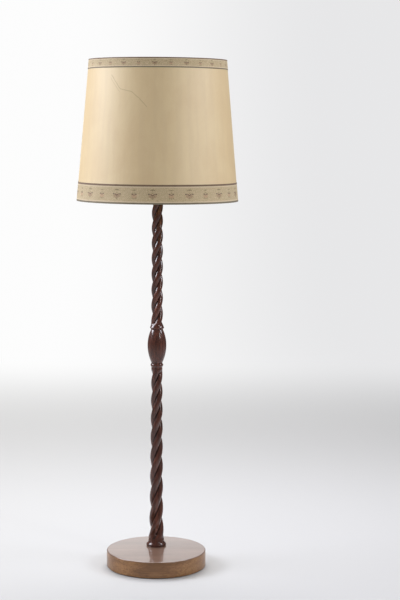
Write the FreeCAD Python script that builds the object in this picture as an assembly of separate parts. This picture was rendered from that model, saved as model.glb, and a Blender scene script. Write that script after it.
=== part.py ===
"""Candlestick floor lamp: a rope-twist turned stem on a round wooden base, with a tapered drum shade.

Millimetres, +Z up.  The origin lies on the stem's axis, on the floor.  -Y is the front of the lamp, and
the stem stands behind the middle of the base disc.  Every sub-part is written to parts/ as one STEP file.
"""
import FreeCAD, Part
import math
import os

Vector = FreeCAD.Vector

# ---------------------------------------------------------------- driving dimensions
# fits and clearances
GLUE_GAP = 0.1              # radial room of a tenon in its socket, and of one fixed piece round another
SEAT_GAP = 0.5              # room under the end of a tenon, a barrel or a screw
RUNNING_GAP = 0.08          # radial room of a shaft that turns in a hole
MOVING_GAP = 0.3            # room between pieces that move past one another
OVERCUT = 1.0               # how far a cutting solid runs past the faces that it cuts

# base
BASE_RADIUS = 155.0
BASE_THICKNESS = 50.0
BASE_SETBACK = 45.0         # how far the stem stands behind the middle of the disc
BASE_TOP_ROUND = 3.0        # rounded top arris of the disc
BASE_BOTTOM_CHAMFER = 1.5
FELT_RADIUS = 150.0
FELT_THICKNESS = 2.0
RECESS_RADIUS = 120.0       # pocket for the ballast, cut from below
RECESS_DEPTH = 20.0
WEIGHT_THICKNESS = 15.0
WEIGHT_EDGE_GAP = 2.0       # between the ballast and the wall of its pocket
WEIGHT_EDGE_CHAMFER = 1.5
WEIGHT_NUT_HOLE_RADIUS = 26.0
WEIGHT_SLOT_WIDTH = 16.0    # the lead runs to the back of the base in this slot
SCREW_COUNT = 4
SCREW_CIRCLE_RADIUS = 92.0
SCREW_SHANK_RADIUS = 2.4
SCREW_HEAD_RADIUS = 4.8
SCREW_HEAD_HEIGHT = 2.8
SCREW_LENGTH = 28.0
SCREW_SLOT_WIDTH = 1.0

# outlet bush in the back of the base
BUSH_BORE_RADIUS = 3.5
BUSH_BARREL_RADIUS = 5.0
BUSH_BARREL_LENGTH = 22.0
BUSH_FLANGE_RADIUS = 8.0
BUSH_FLANGE_THICKNESS = 2.5
BUSH_FLANGE_CHAMFER = 1.0
BUSH_HEIGHT_IN_RECESS = 12.0    # its axis above the underside of the disc

# threaded tube that holds the stem together
PIPE_RADIUS = 5.0
PIPE_WALL = 1.2
PIPE_BORE_ROOM = 0.6        # room round the tube inside the wooden stem
PIPE_BELOW_NUT = 3.0
WASHER_RADIUS = 20.0
WASHER_THICKNESS = 3.0
BASE_NUT_FLATS = 17.0
BASE_NUT_THICKNESS = 8.0

# lower stem: foot, twist and ring
LOWER_STEM_LENGTH = 586.5
FOOT_TENON_RADIUS = 12.5
FOOT_TENON_LENGTH = 22.0
FOOT_SEAT_RADIUS = 30.0
FOOT_LIP_RADIUS = 31.2
FOOT_LIP_HEIGHT = 8.5
FOOT_LIP_WIDEST = 3.8       # above the base
FOOT_LIP_TOP_RADIUS = 29.1
FOOT_COVE_DEPTH = 1.8
FOOT_NECK_RADIUS = 24.6
FOOT_HEIGHT = 24.0          # from the base to the start of the twist
RING_RADIUS = 19.9
RING_HEIGHT = 9.0
RING_NECK_RADIUS = 17.6     # groove between the ring and the knop
RING_NECK_HEIGHT = 3.5
RING_COVE_RADIUS = 18.3     # under the ring
RING_COVE_HEIGHT = 7.0
RING_COVE_DEPTH = 0.6
LOWER_TWIST_TOP_RADIUS = 17.5
LOWER_TWIST_TAPER = 0.0089  # gain of radius per millimetre down the stem
LOWER_SWELL = 2.2           # extra radius where the twist meets the foot
LOWER_SWELL_LENGTH = 118.0
LOWER_LEAD_TOP = 161.0      # height of one full turn of a strand
LOWER_LEAD_BOTTOM = 212.0
LOWER_GROOVE_HEIGHT = 317.0     # above the base, where a groove faces the lamp's left

# knop between the two twists
KNOP_HEIGHT = 103.5
KNOP_RADIUS = 29.4
KNOP_BELLY_HEIGHT = 54.0    # widest point above the lower joint
KNOP_TOP_RADIUS = 18.7
KNOP_BOTTOM_RADIUS = 17.7
STEM_TENON_RADIUS = 10.0
STEM_TENON_LENGTH = 18.0

# upper stem: collar, twist and plain top
UPPER_STEM_LENGTH = 418.0
COLLAR_RADIUS = 21.9
COLLAR_NECK_RADIUS = 18.6
COLLAR_NECK_HEIGHT = 2.0
COLLAR_HEIGHT = 7.0
COLLAR_WIDEST = 4.2         # above its neck
UPPER_TWIST_TOP_RADIUS = 17.2
UPPER_TWIST_TAPER = 0.0028
UPPER_SWELL = 2.6
UPPER_SWELL_LENGTH = 14.0
UPPER_LEAD_TOP = 136.0
UPPER_LEAD_BOTTOM = 154.0
UPPER_GROOVE_HEIGHT = 340.0     # above the lower joint, where a groove faces the lamp's left
CROWN_RADIUS = 18.2         # plain turned end above the upper twist
CROWN_HEIGHT = 16.0
CROWN_CHAMFER = 1.5

# rope twist
STRANDS = 3
STRAND_FULLNESS = 0.54      # radius of a strand as a share of the radius of the stem
STRAND_FLATS = 6            # flats that make the round of one strand
TWIST_STEP = 9.0            # height between two sections of the twist
RUN_OUT = 16.0              # height in which the grooves die out at each end
RUN_OUT_STEP = 4.0

# brass between the stem and the lampholder
CUP_RADIUS = 17.0
CUP_THICKNESS = 1.2
CUP_RIM_HEIGHT = 3.5
CUP_SIDE_BULGE = 0.7
TOP_NUT_FLATS = 14.0
TOP_NUT_THICKNESS = 4.5
SLEEVE_RADIUS = 7.0
SLEEVE_WALL = 1.4
SLEEVE_LENGTH = 26.0
SLEEVE_BEAD_HEIGHT = 2.8
SLEEVE_BEAD_BULGE = 0.7

# lampholder
HOLDER_RADIUS = 19.5
HOLDER_WALL = 1.8
HOLDER_BOSS_RADIUS = 8.0
HOLDER_BOSS_HEIGHT = 8.0
HOLDER_DOME_BULGE = 3.2
HOLDER_CAP_HEIGHT = 36.0
HOLDER_THREAD_ENTRY = 10.0  # how far the tube screws into the cap
GRUB_SCREW_RADIUS = 1.5
GRUB_SLOT_WIDTH = 0.5
GRUB_SLOT_DEPTH = 0.8
SHELL_HEIGHT = 38.0
SHELL_BORE_RADIUS = 16.2
SHELL_LIP = 3.0             # plain shoulder of the shell below its outside thread
SHELL_CHAMFER = 1.0
SHELL_MOUTH_WIDTH = 1.2     # bevel inside the mouth
SHELL_MOUTH_DEPTH = 2.0
BLOCK_HEIGHT = 20.0         # insulating block with the switch and the contacts
BLOCK_RIM_HEIGHT = 3.0      # rim of the block, gripped between cap and shell
BLOCK_CHAMFER = 2.0
BLOCK_WALL = 4.0            # left round the way for the wires
SCREW_SHELL_RADIUS = 14.2
SCREW_SHELL_WALL = 0.8
SCREW_SHELL_HEIGHT = 23.0
CONTACT_STRIP_WIDTH = 6.0
CONTACT_STRIP_THICKNESS = 0.6
CONTACT_STRIP_LENGTH = 17.0
CONTACT_LIFT = 2.2          # how far the spring strip stands above the block
CONTACT_TONGUE_START = 2.0  # from the lamp's axis back to the start of the raised tongue
TERMINAL_SCREW_RADIUS = 1.5
TERMINAL_SCREW_HEIGHT = 4.0
TERMINAL_HEAD_RADIUS = 3.0
TERMINAL_HEAD_HEIGHT = 0.8
TERMINAL_SPACING = 14.0

# turn switch in the side of the cap
SWITCH_DEPTH = 12.0         # its axis below the top of the block
SWITCH_SHAFT_RADIUS = 2.0
SWITCH_SHAFT_REACH = 33.0   # from the lamp's axis to the outer end of the shaft
SWITCH_KNOB_END = 2.0       # end wall of the knob, beyond the shaft
SWITCH_KNOB_CHAMFER = 0.8
SWITCH_KNOB_RADIUS = 6.5
SWITCH_KNOB_LENGTH = 10.0
SWITCH_KNOB_FLUTES = 12
SWITCH_KNOB_FLUTE_RADIUS = 0.8
SWITCH_CAM_SIZE = 6.0
SWITCH_CAM_LENGTH = 5.0

# bulb
BULB_LENGTH = 104.0
BULB_RADIUS = 30.0
BULB_NECK_RADIUS = 14.2
BULB_NECK_HEIGHT = 32.0
BULB_GLASS_WALL = 0.8
BULB_GLASS_ENTRY = 3.0      # how far the glass reaches down into the cap
BULB_CAP_RADIUS = 13.1
BULB_CAP_WALL = 0.4
BULB_CAP_LOW = 6.5
BULB_CAP_TOP = 27.0
BULB_TIP_RADIUS = 4.8
BULB_TIP_HEIGHT = 1.6
BULB_TIP_CHAMFER = 1.2
BULB_TIP_RIM_RADIUS = 10.5
BULB_TIP_RIM_DROP = 1.5      # of the insulator's edge below the cap
INSULATOR_MARGIN = 0.6      # insulator round the tip contact, and inside the cap's edge
FILAMENT_RADIUS = 9.0
FILAMENT_WIRE = 0.5
FILAMENT_HEIGHT = 70.0
FILAMENT_LEGS = 12.0        # from the mount up to the filament
MOUNT_ROD_RADIUS = 2.5
MOUNT_FOOT_THICKNESS = 1.5
MOUNT_FLARE_HEIGHT = 12.0

# shade
SHADE_LOW = 1144.0          # height of its lower edge above the floor
SHADE_HEIGHT = 431.0
SHADE_BOTTOM_RADIUS = 250.0
SHADE_TOP_RADIUS = 212.3
SHADE_SKIN = 1.0
SEAM_WIDTH = 12.0
SEAM_THICKNESS = 0.6
TRIM_THICKNESS = 0.8
BOTTOM_TRIM_HEIGHT = 58.0
TOP_TRIM_HEIGHT = 30.0
FRAME_WIRE_RADIUS = 1.8
FRAME_WIRE_SIDES = 8
FRAME_WIRE_INSET = 1.5      # from the shade's edge to its wire ring
SEAM_END_GAP = 1.0          # between the lapped seam and the wire rings

# fitter that carries the shade on the lampholder
FITTER_BORE_RADIUS = 20.3
FITTER_RADIUS = 29.0
FITTER_THICKNESS = 2.0
ARM_COUNT = 3
ARM_RADIUS = 2.0
ARM_FLAT_END = 6.0          # level stretch at each end of an arm
SHADE_RING_RADIUS = 26.0
SHADE_RING_HEIGHT = 6.0
SHADE_RING_NOTCHES = 24
SHADE_RING_NOTCH_RADIUS = 1.2

# ---------------------------------------------------------------- levels that follow from them
base_low = FELT_THICKNESS
base_top = base_low + BASE_THICKNESS
recess_top = base_low + RECESS_DEPTH
knop_low = base_top + LOWER_STEM_LENGTH
knop_top = knop_low + KNOP_HEIGHT
stem_top = knop_top + UPPER_STEM_LENGTH
top_nut_low = stem_top + CUP_THICKNESS
sleeve_low = top_nut_low + TOP_NUT_THICKNESS
holder_low = sleeve_low + SLEEVE_LENGTH
shell_low = holder_low + HOLDER_CAP_HEIGHT
shell_top = shell_low + SHELL_HEIGHT
block_top = shell_low + BLOCK_RIM_HEIGHT
block_low = block_top - BLOCK_HEIGHT
switch_height = block_top - SWITCH_DEPTH
bulb_tip = block_top + CONTACT_LIFT + MOVING_GAP
lower_ring_low = shell_low + SHELL_LIP
fitter_low = lower_ring_low + SHADE_RING_HEIGHT + MOVING_GAP
upper_ring_low = fitter_low + FITTER_THICKNESS + MOVING_GAP
shade_top = SHADE_LOW + SHADE_HEIGHT
base_centre = Vector(0, -BASE_SETBACK, 0)
weight_radius = RECESS_RADIUS - WEIGHT_EDGE_GAP
weight_low = recess_top - WEIGHT_THICKNESS
pipe_bore_radius = PIPE_RADIUS + PIPE_BORE_ROOM


# ---------------------------------------------------------------- drawing aids
class Outline:
    """Half section drawn from point to point as (radius, height), then turned round an upright axis."""

    def __init__(self, radius, height):
        self.edges = []
        self.start = Vector(radius, 0, height)
        self.here = self.start

    def line(self, radius, height):
        there = Vector(radius, 0, height)
        self.edges.append(Part.LineSegment(self.here, there).toShape())
        self.here = there
        return self

    def arc(self, via, end):
        """Arc through the middle point via to end, each given as (radius, height)."""
        there = Vector(end[0], 0, end[1])
        self.edges.append(Part.Arc(self.here, Vector(via[0], 0, via[1]), there).toShape())
        self.here = there
        return self

    def bulge(self, radius, height, rise):
        """Arc to (radius, height) that stands out by rise from its chord, to the right of its path."""
        along = Vector(radius, 0, height) - self.here
        middle = self.here + along * 0.5
        side = Vector(along.z, 0, -along.x).normalize() * rise
        return self.arc((middle.x + side.x, middle.z + side.z), (radius, height))

    def turned(self, centre=Vector(0, 0, 0)):
        if not self.here.isEqual(self.start, 1e-7):
            self.edges.append(Part.LineSegment(self.here, self.start).toShape())
        face = Part.Face(Part.Wire(self.edges))
        solid = face.revolve(Vector(0, 0, 0), Vector(0, 0, 1), 360)
        solid.translate(centre)
        return solid


def rod(radius, low, high, centre=Vector(0, 0, 0)):
    """Upright cylinder between two levels."""
    return Part.makeCylinder(radius, high - low, centre + Vector(0, 0, low))


def tube(outer, inner, low, high, centre=Vector(0, 0, 0)):
    return rod(outer, low, high, centre).cut(rod(inner, low - OVERCUT, high + OVERCUT, centre))


def hexagon(flats, low, high):
    corner = flats / math.sqrt(3)
    turns = [math.radians(60 * side) for side in range(7)]
    ring = [Vector(corner * math.cos(turn), corner * math.sin(turn), low) for turn in turns]
    return Part.Face(Part.makePolygon(ring)).extrude(Vector(0, 0, high - low))


def hex_nut(flats, low, high):
    """Hexagon nut with the corners turned off, on the threaded tube."""
    corner = flats / math.sqrt(3)
    chamfer = (corner - flats / 2) / 2
    turned_off = (Outline(0, low).line(corner - chamfer, low).line(corner, low + chamfer)
                  .line(corner, high - chamfer).line(corner - chamfer, high).line(0, high).turned())
    thread_hole = rod(PIPE_RADIUS + GLUE_GAP, low - OVERCUT, high + OVERCUT)
    return hexagon(flats, low, high).common(turned_off).cut(thread_hole)


def around(shape, count, centre=Vector(0, 0, 0), axis=Vector(0, 0, 1), first=0.0):
    """Copies of a shape at even turns about an axis."""
    copies = []
    for number in range(count):
        copy = shape.copy()
        copy.rotate(centre, axis, first + 360.0 * number / count)
        copies.append(copy)
    return copies


# ---------------------------------------------------------------- rope twist
class Twist:
    """Three round strands wound into a rope, with a lead that grows steadily down the stem.

    The section at a height is three equal rounds.  Each has the radius STRAND_FULLNESS times the stem's
    radius there, and touches the stem's outline.  In the run-out at each end the fullness rises to 1,
    so that the three rounds become one circle and the grooves die out.
    """

    def __init__(self, low, high, top_radius, taper, swell, swell_length, leads, groove_height):
        self.low = low
        self.high = high
        self.top_radius = top_radius
        self.taper = taper
        self.swell = swell
        self.swell_length = swell_length
        self.lead_low, self.lead_high = leads
        self.groove_height = groove_height

    def radius(self, height):
        """Straight taper, and a swell that grows with the square of the distance near the lower end."""
        into_swell = max(0.0, (self.low + self.swell_length - height) / self.swell_length)
        return self.top_radius + self.taper * (self.high - height) + self.swell * into_swell ** 2

    def lead(self, height):
        share = (height - self.low) / (self.high - self.low)
        return self.lead_low + (self.lead_high - self.lead_low) * share

    def turn(self, height):
        """Turn of the rope in radians: the integral of 2 pi / lead from the height of the left groove."""
        growth = (self.lead_high - self.lead_low) / (self.high - self.low)
        wound = 2 * math.pi / growth * math.log(self.lead(height) / self.lead(self.groove_height))
        return math.pi + math.pi / STRANDS + wound

    def fullness(self, height):
        to_end = min(height - self.low, self.high - height)
        share = max(0.0, 1.0 - to_end / RUN_OUT)
        return STRAND_FULLNESS + (1.0 - STRAND_FULLNESS) * share * share * (3 - 2 * share)

    def heights(self):
        """Levels of the sections, closer together in the run-outs."""
        fine = max(1, round(RUN_OUT / RUN_OUT_STEP))
        middle = self.high - self.low - 2 * RUN_OUT
        coarse = max(1, round(middle / TWIST_STEP))
        lower = [self.low + RUN_OUT * step / fine for step in range(fine)]
        straight = [self.low + RUN_OUT + middle * step / coarse for step in range(coarse)]
        upper = [self.high - RUN_OUT + RUN_OUT * step / fine for step in range(fine + 1)]
        return lower + straight + upper

    def section(self, height):
        """Corners of the flats, STRAND_FLATS to each strand, in order round the rope."""
        strand = self.radius(height) * self.fullness(height)
        offset = self.radius(height) - strand
        half = math.pi / STRANDS
        groove = offset * math.cos(half) + math.sqrt(strand ** 2 - (offset * math.sin(half)) ** 2)
        sweep = math.atan2(groove * math.sin(half), groove * math.cos(half) - offset)
        corners = []
        for number in range(STRANDS):
            facing = self.turn(height) + 2 * math.pi * number / STRANDS
            for flat in range(STRAND_FLATS):
                around_strand = sweep * (2 * flat / STRAND_FLATS - 1)
                out = offset + strand * math.cos(around_strand)
                across = strand * math.sin(around_strand)
                corners.append(Vector(out * math.cos(facing) - across * math.sin(facing),
                                      out * math.sin(facing) + across * math.cos(facing), height))
        return corners

    def solid(self):
        sections = [self.section(height) for height in self.heights()]
        count = STRANDS * STRAND_FLATS
        faces = []
        for below, above in zip(sections, sections[1:]):
            for corner in range(count):
                after = (corner + 1) % count
                for triangle in ((below[corner], below[after], above[after]),
                                 (below[corner], above[after], above[corner])):
                    faces.append(Part.Face(Part.makePolygon(triangle + (triangle[0],))))
        for end in (sections[0], sections[-1]):
            faces.append(Part.Face(Part.makePolygon(end + [end[0]])))
        body = Part.Solid(Part.Shell(faces))
        if body.Volume < 0:
            body.reverse()
        return body


# ---------------------------------------------------------------- base
def base_disc():
    """Solid wooden disc with a pocket for the ballast, a socket for the stem and a hole for the bush."""
    soft = BASE_TOP_ROUND * (1 - math.sqrt(0.5))
    disc = (Outline(0, base_low)
            .line(BASE_RADIUS - BASE_BOTTOM_CHAMFER, base_low)
            .line(BASE_RADIUS, base_low + BASE_BOTTOM_CHAMFER)
            .line(BASE_RADIUS, base_top - BASE_TOP_ROUND)
            .arc((BASE_RADIUS - soft, base_top - soft), (BASE_RADIUS - BASE_TOP_ROUND, base_top))
            .line(0, base_top).turned(base_centre))
    socket_low = base_top - FOOT_TENON_LENGTH - SEAT_GAP
    disc = disc.cut(rod(RECESS_RADIUS, base_low - OVERCUT, recess_top, base_centre))
    disc = disc.cut(rod(FOOT_TENON_RADIUS + GLUE_GAP, socket_low, base_top + OVERCUT))
    disc = disc.cut(rod(pipe_bore_radius, recess_top - OVERCUT, base_top))
    into_wood = weight_low + SCREW_LENGTH + SEAT_GAP
    pilot = rod(SCREW_SHANK_RADIUS + GLUE_GAP, recess_top - OVERCUT, into_wood, screw_place())
    for hole in around(pilot, SCREW_COUNT, base_centre, first=180.0 / SCREW_COUNT):
        disc = disc.cut(hole)
    return disc.cut(bush_hole())


def screw_place():
    return base_centre + Vector(SCREW_CIRCLE_RADIUS, 0, 0)


def bush_place(inward):
    """Point on the bush's axis, a distance in from the outside of the disc at its back."""
    return base_centre + Vector(0, BASE_RADIUS - inward, base_low + BUSH_HEIGHT_IN_RECESS)


def bush_hole():
    """Hole from the back of the disc into the pocket, with a flat seat for the flange."""
    through = BASE_RADIUS - RECESS_RADIUS + BUSH_BARREL_RADIUS
    hole = Part.makeCylinder(BUSH_BARREL_RADIUS + GLUE_GAP, through, bush_place(0), Vector(0, -1, 0))
    seat_start = bush_place(bush_seat_depth())
    seat = Part.makeCylinder(BUSH_FLANGE_RADIUS + GLUE_GAP, BUSH_FLANGE_RADIUS, seat_start, Vector(0, 1, 0))
    return hole.fuse(seat)


def bush_seat_depth():
    """Depth of the flat seat: the rise of the disc's round side over the width of the flange."""
    return BASE_RADIUS - math.sqrt(BASE_RADIUS ** 2 - (BUSH_FLANGE_RADIUS + GLUE_GAP) ** 2)


def cord_bush():
    """Turned outlet bush: a barrel in the disc, a rounded flange outside, and a bore for the lead."""
    edge = BUSH_FLANGE_THICKNESS - BUSH_FLANGE_CHAMFER
    bush = (Outline(BUSH_BORE_RADIUS, -BUSH_BARREL_LENGTH)
            .line(BUSH_BARREL_RADIUS, -BUSH_BARREL_LENGTH).line(BUSH_BARREL_RADIUS, 0)
            .line(BUSH_FLANGE_RADIUS, 0).line(BUSH_FLANGE_RADIUS, edge)
            .line(BUSH_FLANGE_RADIUS - BUSH_FLANGE_CHAMFER, BUSH_FLANGE_THICKNESS)
            .line(BUSH_BORE_RADIUS, BUSH_FLANGE_THICKNESS).turned())
    bush.rotate(Vector(0, 0, 0), Vector(1, 0, 0), -90)
    bush.translate(bush_place(bush_seat_depth()))
    return bush


def base_weight():
    """Cast-iron ballast disc, screwed up into the pocket, with a slot for the lead."""
    weight = (Outline(0, weight_low)
              .line(weight_radius - WEIGHT_EDGE_CHAMFER, weight_low)
              .line(weight_radius, weight_low + WEIGHT_EDGE_CHAMFER)
              .line(weight_radius, recess_top).line(0, recess_top).turned(base_centre))
    weight = weight.cut(rod(WEIGHT_NUT_HOLE_RADIUS, weight_low - OVERCUT, recess_top + OVERCUT))
    slot = Part.makeBox(WEIGHT_SLOT_WIDTH, RECESS_RADIUS, WEIGHT_THICKNESS + 2 * OVERCUT,
                        Vector(-WEIGHT_SLOT_WIDTH / 2, 0, weight_low - OVERCUT))
    weight = weight.cut(slot)
    sink = (Outline(0, weight_low - OVERCUT).line(SCREW_HEAD_RADIUS + GLUE_GAP, weight_low - OVERCUT)
            .line(SCREW_HEAD_RADIUS + GLUE_GAP, weight_low)
            .line(SCREW_SHANK_RADIUS + GLUE_GAP, weight_low + SCREW_HEAD_HEIGHT)
            .line(SCREW_SHANK_RADIUS + GLUE_GAP, recess_top + OVERCUT).line(0, recess_top + OVERCUT)
            .turned(screw_place()))
    for hole in around(sink, SCREW_COUNT, base_centre, first=180.0 / SCREW_COUNT):
        weight = weight.cut(hole)
    return weight


def weight_screws():
    """Countersunk wood screws with a straight slot, through the ballast into the disc."""
    tip = weight_low + SCREW_LENGTH
    screw = (Outline(0, weight_low).line(SCREW_HEAD_RADIUS, weight_low)
             .line(SCREW_SHANK_RADIUS, weight_low + SCREW_HEAD_HEIGHT)
             .line(SCREW_SHANK_RADIUS, tip - 2 * SCREW_SHANK_RADIUS).line(0, tip).turned(screw_place()))
    slot = Part.makeBox(2 * SCREW_HEAD_RADIUS, SCREW_SLOT_WIDTH, SCREW_HEAD_HEIGHT / 2,
                        screw_place() + Vector(-SCREW_HEAD_RADIUS, -SCREW_SLOT_WIDTH / 2, weight_low))
    return Part.makeCompound(around(screw.cut(slot), SCREW_COUNT, base_centre, first=180.0 / SCREW_COUNT))


def base_felt():
    return rod(FELT_RADIUS, 0, FELT_THICKNESS, base_centre)


def pipe_washer():
    return tube(WASHER_RADIUS, PIPE_RADIUS + GLUE_GAP, recess_top - WASHER_THICKNESS, recess_top)


def base_nut():
    high = recess_top - WASHER_THICKNESS
    return hex_nut(BASE_NUT_FLATS, high - BASE_NUT_THICKNESS, high)


def threaded_pipe():
    """Steel tube threaded from end to end, which clamps the stem and carries the lead."""
    low = recess_top - WASHER_THICKNESS - BASE_NUT_THICKNESS - PIPE_BELOW_NUT
    return tube(PIPE_RADIUS, PIPE_RADIUS - PIPE_WALL, low, holder_low + HOLDER_THREAD_ENTRY)


# ---------------------------------------------------------------- stem
def lower_twist():
    low = base_top + FOOT_HEIGHT
    high = knop_low - RING_NECK_HEIGHT - RING_HEIGHT - RING_COVE_HEIGHT
    return Twist(low, high, LOWER_TWIST_TOP_RADIUS, LOWER_TWIST_TAPER, LOWER_SWELL, LOWER_SWELL_LENGTH,
                 (LOWER_LEAD_BOTTOM, LOWER_LEAD_TOP), base_top + LOWER_GROOVE_HEIGHT)


def upper_twist():
    low = knop_top + COLLAR_NECK_HEIGHT + COLLAR_HEIGHT
    high = stem_top - CROWN_HEIGHT
    return Twist(low, high, UPPER_TWIST_TOP_RADIUS, UPPER_TWIST_TAPER, UPPER_SWELL, UPPER_SWELL_LENGTH,
                 (UPPER_LEAD_BOTTOM, UPPER_LEAD_TOP), knop_top + UPPER_GROOVE_HEIGHT)


def bored(shape, low, high):
    return shape.cut(rod(pipe_bore_radius, low - OVERCUT, high + OVERCUT))


def stem_lower():
    """Foot with a rounded lip and a cove, long twist, ring below the knop, and a tenon at each end."""
    twist = lower_twist()
    lip_top = base_top + FOOT_LIP_HEIGHT
    foot = (Outline(0, base_top - FOOT_TENON_LENGTH).line(FOOT_TENON_RADIUS, base_top - FOOT_TENON_LENGTH)
            .line(FOOT_TENON_RADIUS, base_top).line(FOOT_SEAT_RADIUS, base_top)
            .arc((FOOT_LIP_RADIUS, base_top + FOOT_LIP_WIDEST), (FOOT_LIP_TOP_RADIUS, lip_top))
            .bulge(FOOT_NECK_RADIUS, twist.low, -FOOT_COVE_DEPTH).line(0, twist.low).turned())
    ring_low = twist.high + RING_COVE_HEIGHT
    ring_top = ring_low + RING_HEIGHT
    tenon_top = knop_low + STEM_TENON_LENGTH
    head = (Outline(0, twist.high).line(twist.radius(twist.high), twist.high)
            .bulge(RING_COVE_RADIUS, ring_low, -RING_COVE_DEPTH)
            .arc((RING_RADIUS, (ring_low + ring_top) / 2), (RING_NECK_RADIUS, ring_top))
            .line(RING_NECK_RADIUS, knop_low).line(STEM_TENON_RADIUS, knop_low)
            .line(STEM_TENON_RADIUS, tenon_top).line(0, tenon_top).turned())
    stem = foot.fuse([twist.solid(), head])
    return bored(stem, base_top - FOOT_TENON_LENGTH, tenon_top)


def stem_knop():
    """Turned vase between the twists, with a socket in each end."""
    belly = knop_low + KNOP_BELLY_HEIGHT
    lower_rise = side_arc(KNOP_RADIUS, belly, KNOP_BOTTOM_RADIUS, knop_low)
    upper_rise = side_arc(KNOP_RADIUS, belly, KNOP_TOP_RADIUS, knop_top)
    knop = (Outline(0, knop_low).line(KNOP_BOTTOM_RADIUS, knop_low)
            .arc(lower_rise, (KNOP_RADIUS, belly)).arc(upper_rise, (KNOP_TOP_RADIUS, knop_top))
            .line(0, knop_top).turned())
    socket_radius = STEM_TENON_RADIUS + GLUE_GAP
    socket_depth = STEM_TENON_LENGTH + SEAT_GAP
    knop = knop.cut(rod(socket_radius, knop_low - OVERCUT, knop_low + socket_depth))
    knop = knop.cut(rod(socket_radius, knop_top - socket_depth, knop_top + OVERCUT))
    return bored(knop, knop_low, knop_top)


def side_arc(belly_radius, belly, end_radius, end):
    """Middle point of the arc that is upright at the belly and ends at (end_radius, end)."""
    drop = belly_radius - end_radius
    height = abs(end - belly)
    bend = (height ** 2 + drop ** 2) / (2 * drop)
    half = math.asin(height / bend) / 2
    side = 1 if end > belly else -1
    return belly_radius - bend * (1 - math.cos(half)), belly + side * bend * math.sin(half)


def stem_upper():
    """Flared collar, twist and plain crown, with a tenon down into the knop."""
    twist = upper_twist()
    tenon_low = knop_top - STEM_TENON_LENGTH
    neck_top = knop_top + COLLAR_NECK_HEIGHT
    collar = (Outline(0, tenon_low).line(STEM_TENON_RADIUS, tenon_low).line(STEM_TENON_RADIUS, knop_top)
              .line(COLLAR_NECK_RADIUS, knop_top).line(COLLAR_NECK_RADIUS, neck_top)
              .arc((COLLAR_RADIUS, neck_top + COLLAR_WIDEST), (twist.radius(twist.low), twist.low))
              .line(0, twist.low).turned())
    crown = (Outline(0, twist.high).line(CROWN_RADIUS - CROWN_CHAMFER, twist.high)
             .line(CROWN_RADIUS, twist.high + CROWN_CHAMFER).line(CROWN_RADIUS, stem_top - CROWN_CHAMFER)
             .line(CROWN_RADIUS - CROWN_CHAMFER, stem_top).line(0, stem_top).turned())
    stem = collar.fuse([twist.solid(), crown])
    return bored(stem, tenon_low, stem_top)


# ---------------------------------------------------------------- brass on top of the stem
def brass_cup():
    """Spun cup that caps the wooden stem, with an upturned rim."""
    rim_top = stem_top + CUP_RIM_HEIGHT
    return (Outline(PIPE_RADIUS + GLUE_GAP, stem_top)
            .line(CUP_RADIUS - CUP_RIM_HEIGHT, stem_top)
            .bulge(CUP_RADIUS, rim_top, CUP_SIDE_BULGE)
            .line(CUP_RADIUS - CUP_THICKNESS, rim_top)
            .bulge(CUP_RADIUS - CUP_RIM_HEIGHT - SEAT_GAP, stem_top + CUP_THICKNESS, -CUP_SIDE_BULGE)
            .line(PIPE_RADIUS + GLUE_GAP, stem_top + CUP_THICKNESS).turned())


def top_nut():
    return hex_nut(TOP_NUT_FLATS, top_nut_low, sleeve_low)


def neck_sleeve():
    """Brass tube with a bead at each end, which spaces the lampholder off the nut."""
    inner = SLEEVE_RADIUS - SLEEVE_WALL
    return (Outline(inner, sleeve_low).line(SLEEVE_RADIUS, sleeve_low)
            .bulge(SLEEVE_RADIUS, sleeve_low + SLEEVE_BEAD_HEIGHT, SLEEVE_BEAD_BULGE)
            .line(SLEEVE_RADIUS, holder_low - SLEEVE_BEAD_HEIGHT)
            .bulge(SLEEVE_RADIUS, holder_low, SLEEVE_BEAD_BULGE)
            .line(inner, holder_low).turned())


# ---------------------------------------------------------------- lampholder
def holder_cap():
    """Domed metal cap that screws on the tube, with a side hole for the switch and one for a grub screw."""
    boss_top = holder_low + HOLDER_BOSS_HEIGHT
    dome_top = block_low - SEAT_GAP
    inner = HOLDER_RADIUS - HOLDER_WALL
    cap = (Outline(0, holder_low).line(HOLDER_BOSS_RADIUS, holder_low).line(HOLDER_BOSS_RADIUS, boss_top)
           .bulge(HOLDER_RADIUS, dome_top, HOLDER_DOME_BULGE).line(HOLDER_RADIUS, shell_low)
           .line(0, shell_low).turned())
    floor = boss_top + HOLDER_WALL
    hollow = (Outline(0, floor).line(HOLDER_BOSS_RADIUS - HOLDER_WALL / 2, floor)
              .bulge(inner, dome_top, HOLDER_DOME_BULGE).line(inner, shell_low + OVERCUT)
              .line(0, shell_low + OVERCUT).turned())
    cap = cap.cut(hollow).cut(rod(PIPE_RADIUS + GLUE_GAP, holder_low - OVERCUT, floor + HOLDER_WALL))
    switch_hole = Part.makeCylinder(SWITCH_SHAFT_RADIUS + RUNNING_GAP, 2 * HOLDER_RADIUS,
                                    Vector(0, 0, switch_height), Vector(1, 0, 0))
    grub_hole = Part.makeCylinder(GRUB_SCREW_RADIUS + GLUE_GAP, 2 * HOLDER_BOSS_RADIUS, grub_place(),
                                  Vector(0, 1, 0))
    return cap.cut(switch_hole).cut(grub_hole)


def grub_place():
    return Vector(0, PIPE_RADIUS + GLUE_GAP, holder_low + HOLDER_BOSS_HEIGHT / 2)


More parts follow.
